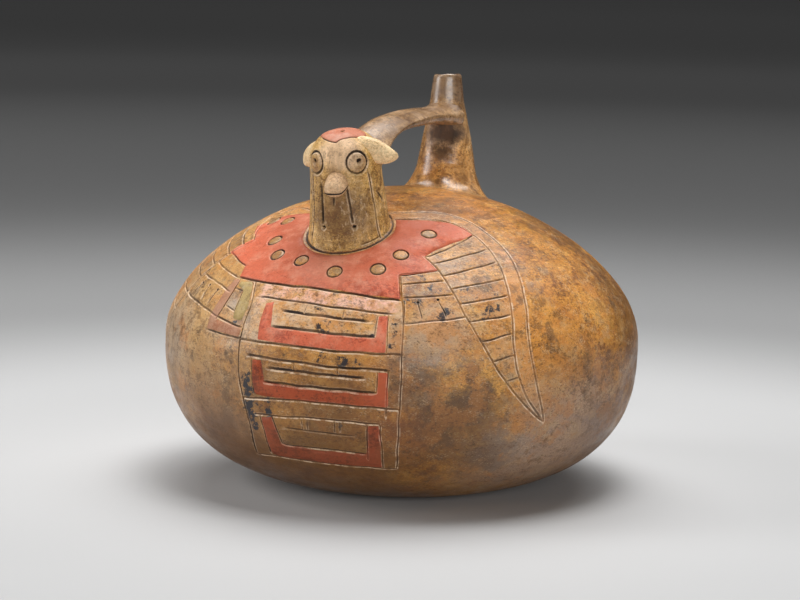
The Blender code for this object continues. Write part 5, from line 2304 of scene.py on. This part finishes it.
class Vessel:
    """The whole vessel, piece by piece."""

    PAINT_HEIGHT = 0.12
    DISC_RISE = 0.4
    PAINTED = {
        "collar_paint": ("coral_paint", Slot.RED),
        "upper_panel_paint": ("coral_paint", Slot.RED),
        "middle_panel_paint": ("brick_paint", Slot.RED),
        "lower_panel_paint": ("dark_brick_paint", Slot.DARK_RED),
        "pendant_yellow_paint": ("yellow_paint", Slot.YELLOW),
        "pendant_border_paint": ("rose_paint", Slot.ROSE),
    }

    def __init__(self) -> None:
        """Keep the sub-assemblies and make the finishes."""
        self.body, self.head, self.spout, self.strap = Body(), Head(), Spout(), Strap()
        self.breast, self.shoulders, self.collar = Breast(), Shoulders(), Collar()
        self.wings = (Wing(), Wing(mirrored=True))
        effects = Effects()
        self.finishes = {finish.name: finish.make(effects) for finish in FINISHES}
        self.fields: dict[str, np.ndarray] = {}
        self.bare: list[np.ndarray] = []

    def mark_body(self) -> EtchedSkin:
        """Body's skin with all its lines and paint borders.

        Returns:
            The skin, woven and pressed.
        """
        collar, shoulders = self.collar, self.shoulders
        skin = EtchedSkin(Chart(*self.body.outline()), self.body.spacing, DECOR_TURN)
        cuts = [*self.breast.cuts(), *shoulders.cuts(), collar.CORNER, collar.BACK]
        for wing in self.wings:
            cuts += wing.cuts()
        seam = self.head.joint(self.body, 0.9)
        cuts.append(ringed(1.4, 0.9, 1.0, 0.6, 0.1, seam))
        for disc in collar.DISCS:
            points = collar.disc(self.body, *disc, collar.disc_radius)
            cuts.append(ringed(1.0, 0.6, 0.95, 0.45, 0.12, points))
            clear = collar.disc(self.body, *disc, collar.disc_radius + collar.disc_gap)
            self.bare.append(skin.border(clear, True, 0.1))
        for mark in cuts:
            skin.cut(mark)
        for mark in shoulders.PUNCHES:
            skin.punch(mark)
        self.fields["collar_paint"] = skin.border(collar.OUTLINE, shake=0.4)
        self.bare.append(skin.border(self.head.joint(self.body, 2.2), True, 0.25))
        for name, points in self.breast.TRAYS.items():
            self.fields[name] = skin.border(points, shake=0.35)
        self.fields["pendant_yellow_paint"] = skin.border(shoulders.HOOK, shake=0.25)
        self.fields["pendant_border_paint"] = skin.border(shoulders.BORDER, shake=0.25)
        self.equator_run = float(skin.chart.run_at(0.0))
        for run in (self.equator_run, skin.chart.run[-1]):
            skin.hoop(run, 2.0)
        skin.weave()
        swell = self.body.unevenness(skin.clay)
        for turn, far in collar.DISCS:
            around = math.radians(turn + DECOR_TURN)
            centre = (far * math.sin(around), -far * math.cos(around), float(self.body.level_at(far)))
            gap = np.linalg.norm(skin.clay - centre, axis=1) / collar.disc_radius
            swell += self.DISC_RISE * np.clip(1.0 - gap ** 2, 0.0, 1.0)
        skin.press(swell)
        return skin

    def ground(self, skin: EtchedSkin) -> dict[str, np.ndarray]:
        """Where the body's clay has another colour.

        Args:
            skin: the body's skin.

        Returns:
            Masks by name, with a value for each of the skin's points.
        """
        fields = [("breast", self.breast.GROUND, 1.0), ("upper", self.breast.UPPER_GROUND, 1.0)]
        fields += [("blush", self.breast.BLUSH, 1.0), ("ash", self.shoulders.ASH, 1.0)]
        fields += [("smudge", *patch) for side in (self.shoulders, *self.wings) for patch in side.cells()]
        for wing in self.wings:
            fields += [("wing", wing.field(), 1.0), ("band", wing.band(), 1.0)]
        for disc in self.collar.DISCS:
            fields.append(("disc", self.collar.disc(self.body, *disc, self.collar.disc_radius), 1.0))
        masks = {"residue": Residue().mask(skin)}
        for name, points, share in fields:
            within = share * inside(skin.plan, skin.area(points))
            masks[name] = np.maximum(masks.get(name, 0.0), within)
        return masks

    def build_body(self) -> None:
        """Dome, bowl and the painted fields on them."""
        skin = self.mark_body()
        masks = {**skin.masks(), **self.ground(skin)}
        upper = skin.face_runs < self.equator_run
        for name, keep, slot in (("upper_dome", upper, Slot.DOME), ("lower_bowl", ~upper, Slot.BOWL)):
            inner = self.body.inner_outline(skin, slot is Slot.DOME)
            mould = shell_mould(skin, keep, self.equator_run, inner, masks)
            mould.cast(name + "_skin", self.finishes["burnished_body"], slot, name)
        for name, (finish, slot) in self.PAINTED.items():
            keep = inside(skin.middles, self.fields[name])
            if name == "collar_paint":
                for hole in self.bare:
                    keep &= ~inside(skin.middles, hole)
            film_mould(skin, keep, self.PAINT_HEIGHT).cast(name + "_film", self.finishes[finish], slot, name)

    def build_spout(self) -> None:
        """Spout, the clay round its foot and the strap."""
        clay = self.finishes["spout_clay"]
        self.spout.tube().cast("spout_tube_wall", clay, Slot.SPOUT, "spout_tube")
        self.spout.foot(self.body).cast("spout_foot_fillet", clay, Slot.SPOUT, "spout_foot_coil")
        self.strap.mould().cast("bridge_strap_arch", self.finishes["strap_clay"], Slot.STRAP, "bridge_strap")

    def build_head(self) -> None:
        """Head, crown, beak, tufts and the red cap."""
        head, place = self.head, self.head.seat(self.body)
        skin = head.skin()
        iris = np.zeros(len(skin.plan))
        for eye in head.EYES:
            iris[inside(skin.plan, skin.area(head.disc(skin.chart, *eye)))] = 1.0
        masks = {**skin.masks(), "iris": iris}
        crown = skin.face_runs < head.crown_run
        for name, keep, inner in (("head_shell", ~crown, head.HOLLOW), ("crown_slab", crown, head.CEILING)):
            mould = shell_mould(skin, keep, head.crown_run, np.array(inner), masks)
            upright(mould, place).cast(name + "_skin", self.finishes["head_clay"], Slot.HEAD, name)
        cap = inside(skin.middles, head.cap) & ~inside(skin.middles, head.vent)
        film = upright(film_mould(skin, cap, self.PAINT_HEIGHT), place)
        film.cast("crown_paint_film", self.finishes["crown_red"], Slot.CROWN, "crown_paint")
        beak = Beak(head)
        for name, sizes in (("upper_beak", beak.UPPER), ("lower_beak", beak.LOWER)):
            half = upright(beak.half(*sizes), place @ beak.place())
            half.cast(name + "_half", self.finishes["beak_clay"], Slot.BEAK, name)
        for name, tuft in (("left_tuft", LEFT_TUFT), ("right_tuft", RIGHT_TUFT)):
            upright(tuft.mould(), place).cast(name + "_leaf", self.finishes["tuft_clay"], Slot.TUFT, name)


LEFT_TUFT = Tuft(
    1.0, (
        (4.0, 36.4, 2.6), (8.0, 35.3, 4.2), (12.0, 33.7, 5.0), (16.0, 32.0, 4.9), (19.8, 31.0, 4.2),
        (23.0, 30.6, 3.2),
    )
)
RIGHT_TUFT = Tuft(
    -1.0,
    (
        (4.0, 34.0, 2.6), (8.2, 32.3, 4.4), (12.0, 30.4, 5.0), (15.3, 28.2, 4.8), (18.0, 26.0, 4.2),
        (20.2, 24.2, 3.2),
    ),
    set_back=-1.5,
)

SMOKE = (0.10, 0.064, 0.04)
SOOT = (0.034, 0.018, 0.008)
UMBER = (0.14, 0.062, 0.02)
ORANGE = (0.60, 0.235, 0.055)
RUST = (0.36, 0.115, 0.035)
PALE = (0.56, 0.375, 0.19)
GREY = (0.25, 0.185, 0.13)
SPECK = (0.06, 0.03, 0.015)
FINISHES = (
    ClayFinish(
        "burnished_body", (0.70, 0.345, 0.078), (0.58, 0.242, 0.04), (0.28, 0.098, 0.019), streak_low=25.0,
        blotches=(
            Blotch(ORANGE, 15.0, 0.68, 0.5, 1.2, 11.0),
            Blotch(PALE, 8.0, 0.5, 0.4, 1.2, 37.0),
            Blotch(GREY, 22.0, 0.42, 0.5, 1.0, 71.0),
            Blotch(SMOKE, 10.0, 0.45, 0.6, 0.8, 91.0),
            Blotch(UMBER, 5.5, 0.55, 0.55, 1.2, 113.0),
            Blotch(SPECK, 2.2, 0.52, 0.55, 1.4, 151.0),
            Blotch(SPECK, 0.9, 0.6, 0.4, 1.2, 197.0),
            Blotch((0.78, 0.58, 0.36), 0.9, 0.54, 0.5, 2.4, 233.0),
        ),
        clouds=(
            # Painted grey sheen on the left flank.
            Cloud((-60.0, -79.0, 6.0), 36.0, 20.0, 30.0, PALE, 0.55),
            Cloud((-72.0, -70.0, 2.0), 18.0, 12.0, 24.0, (0.50, 0.40, 0.30), 0.6),
            Cloud((43.0, -90.0, -5.0), 13.0, 9.0, 26.0, RUST, 0.5),
            Cloud((14.0, -98.0, -16.0), 15.0, 8.0, 24.0, (0.2, 0.08, 0.025), 0.6),
            Cloud((28.7, -13.3, 57.5), 16.0, 10.0, 30.0, ORANGE, 0.55),
            # Painted greyish reflection of the floor on the lower right.
            Cloud((68.0, -56.0, -44.0), 20.0, 10.0, 30.0, (0.34, 0.25, 0.20), 0.55),
            Cloud((-42.0, -89.0, -22.0), 20.0, 12.0, 30.0, (0.3, 0.2, 0.115), 0.5),
            Cloud((53.0, -85.0, -9.0), 15.0, 9.0, 44.0, SMOKE, 0.6),
            Cloud((65.0, -73.0, -26.0), 21.0, 10.0, 44.0, SMOKE, 0.65),
            Cloud((53.0, -84.0, 4.0), 7.0, 5.0, 30.0, SMOKE, 0.7),
            Cloud((66.0, -75.0, 1.0), 6.0, 5.0, 26.0, SMOKE, 0.7),
            Cloud((66.0, -74.0, -11.0), 7.0, 5.0, 26.0, SMOKE, 0.75),
            Cloud((52.0, -84.0, -22.0), 8.0, 5.0, 30.0, SMOKE, 0.7),
            Cloud((70.0, -59.0, -38.0), 8.0, 5.0, 26.0, SMOKE, 0.7),
            Cloud((40.0, -88.0, -24.0), 10.0, 8.0, 24.0, RUST, 0.6),
            Cloud((45.0, -88.0, 9.0), 9.0, 7.0, 20.0, GREY, 0.4),
            # Painted greyish reflection of the floor on the lower right.
            Cloud((90.0, -30.0, -36.0), 34.0, 16.0, 30.0, (0.44, 0.36, 0.30), 0.65),
            Cloud((-50.0, -80.0, -40.0), 26.0, 15.0, 36.0, (0.55, 0.3, 0.15), 0.6),
            Cloud((54.0, -79.0, 15.0), 12.0, 8.0, 20.0, (0.56, 0.37, 0.23), 0.8),
            Cloud((86.0, -42.0, 8.0), 18.0, 10.0, 20.0, (0.74, 0.34, 0.085), 0.55),
            Cloud((20.0, -24.0, 58.0), 12.0, 9.0, 40.0, UMBER, 0.6),
            Cloud((60.0, 20.0, 46.0), 16.0, 10.0, 40.0, UMBER, 0.6),
            Cloud((84.0, 18.0, 30.0), 12.0, 8.0, 30.0, UMBER, 0.5),
            Cloud((96.0, 24.0, 8.0), 32.0, 14.0, 36.0, UMBER, 0.72),
        ),
        fields=(
            Field("wing", (0.72, 0.42, 0.21), 0.6), Field("band", ORANGE, 0.6),
            Field("breast", (0.6, 0.35, 0.13), 0.4),
            Field("upper", (0.66, 0.46, 0.31), 0.7), Field("ash", (0.46, 0.38, 0.33), 0.9),
            Field("blush", (0.84, 0.49, 0.37), 1.0), Field("smudge", (0.17, 0.12, 0.085), 0.75),
            Field("disc", (0.36, 0.22, 0.095), 0.8),
        ),
        # Painted shade towards the bottom, kept off the right side as painted light from the floor.
        soil=(0.095, 0.041, 0.015), soil_share=0.86, clean_spot=(76.0, -52.0, 18.0), clean_reach=46.0,
        sheen=(0.3, 0.5), gloss=0.32,
    ),
    ClayFinish(
        "spout_clay", (0.92, 0.55, 0.24), (0.72, 0.38, 0.125), (0.28, 0.13, 0.045), size=22.0, upright=1.0,
        streak_share=0.6,
        blotches=(Blotch(UMBER, 5.0, 0.55, 0.6, 0.5, 17.0), Blotch(SPECK, 1.3, 0.55, 0.6, 0.7, 53.0)),
        clouds=(
            # Soot and painted shadow under the strap, on the front of the spout.
            Cloud((3.0, 28.0, 84.0), 9.0, 4.0, 14.0, SOOT, 1.0, 0.55),
            Cloud((3.0, 28.0, 75.0), 4.5, 3.0, 12.0, SOOT, 0.9, 0.6),
            Cloud((0.0, 38.8, 105.0), 13.0, 6.0, 14.0, (0.27, 0.2, 0.14), 0.8),
            Cloud((0.0, 38.8, 52.0), 21.0, 7.0, 16.0, (0.50, 0.205, 0.04), 0.75),
        ),
        sheen=(0.19, 0.34), gloss=0.75, relief=0.1,
    ),
    ClayFinish(
        "strap_clay", (0.55, 0.35, 0.19), (0.39, 0.22, 0.093), (0.17, 0.085, 0.034), size=22.0, upright=1.0,
        way=(1.6, 0.22, 1.6),
        blotches=(Blotch(UMBER, 4.0, 0.6, 0.65, 1.0, 29.0), Blotch(SPECK, 1.2, 0.55, 0.6, 1.0, 61.0)),
        streak_share=0.65, sheen=(0.27, 0.42), gloss=0.7,
    ),
    ClayFinish(
        "head_clay", (0.88, 0.58, 0.26), (0.70, 0.41, 0.12), (0.28, 0.135, 0.034), size=13.0, upright=1.0,
        streak_share=0.35,
        blotches=(
            Blotch(UMBER, 5.0, 0.62, 0.45, 0.5, 19.0), Blotch(SPECK, 2.0, 0.52, 0.45, 0.6, 47.0),
            Blotch(SPECK, 0.9, 0.62, 0.35, 1.0, 83.0),
            Blotch((0.86, 0.66, 0.42), 1.6, 0.5, 0.35, 0.6, 107.0),
        ),
        clouds=(
            # Painted highlight on the forehead, lit from above.
            Cloud((4.0, -71.0, 84.0), 8.0, 4.0, 8.0, (0.90, 0.61, 0.39), 0.75),
            Cloud((3.0, -68.0, 56.0), 12.0, 7.0, 14.0, UMBER, 0.75),
            # Painted shadow under the beak.
            Cloud((2.0, -72.0, 70.0), 5.0, 3.0, 8.0, UMBER, 0.4),
        ),
        fields=(Field("iris", (0.34, 0.17, 0.07), 0.75),),
        sheen=(0.45, 0.65),
    ),
    ClayFinish(
        "beak_clay", (0.72, 0.49, 0.29), (0.61, 0.39, 0.215), (0.38, 0.22, 0.105),
        size=8.0, streak_share=0.1, fleck_share=0.2, sheen=(0.45, 0.6),
    ),
    ClayFinish(
        "tuft_clay", (0.92, 0.69, 0.39), (0.85, 0.60, 0.32), (0.48, 0.30, 0.13),
        size=10.0, streak_share=0.15, fleck_share=0.25, sheen=(0.45, 0.6),
    ),
    PaintFinish(
        "coral_paint", (0.60, 0.13, 0.06), (0.66, 0.29, 0.18), (0.38, 0.065, 0.03),
        clouds=(
            Cloud((0.0, -48.0, 50.0), 40.0, 14.0, 20.0, (0.37, 0.083, 0.032), 0.7),
            Cloud((0.0, -78.0, 38.0), 12.0, 8.0, 20.0, (0.68, 0.26, 0.16), 0.4),
        ),
    ),
    PaintFinish(
        "brick_paint", (0.39, 0.062, 0.016), (0.46, 0.115, 0.035), (0.17, 0.028, 0.008), wear=0.3,
        clouds=(Cloud((36.0, -93.0, -6.0), 8.0, 4.0, 8.0, (0.62, 0.12, 0.045), 0.75),),
    ),
    PaintFinish(
        "dark_brick_paint", (0.35, 0.062, 0.02), (0.38, 0.105, 0.042), (0.16, 0.029, 0.009),
        wear=0.3,
    ),
    PaintFinish(
        "yellow_paint", (0.43, 0.30, 0.115), (0.50, 0.40, 0.26), (0.30, 0.20, 0.08),
        wear=0.45, faded_share=0.9,
    ),
    PaintFinish("rose_paint", (0.42, 0.20, 0.11), (0.52, 0.31, 0.19), (0.36, 0.14, 0.066), wear=0.5),
    PaintFinish("crown_red", (0.48, 0.16, 0.085), (0.60, 0.36, 0.27), (0.46, 0.13, 0.07), wear=0.25),
)


def main() -> None:
    """Build the vessel and its studio."""
    logging.basicConfig(level=logging.INFO, format="%(message)s")
    vessel = Vessel()
    vessel.build_body()
    vessel.build_spout()
    vessel.build_head()
    studio = Studio()
    studio.floor()
    studio.lights()
    studio.camera()


if __name__ == "__main__":
    main()
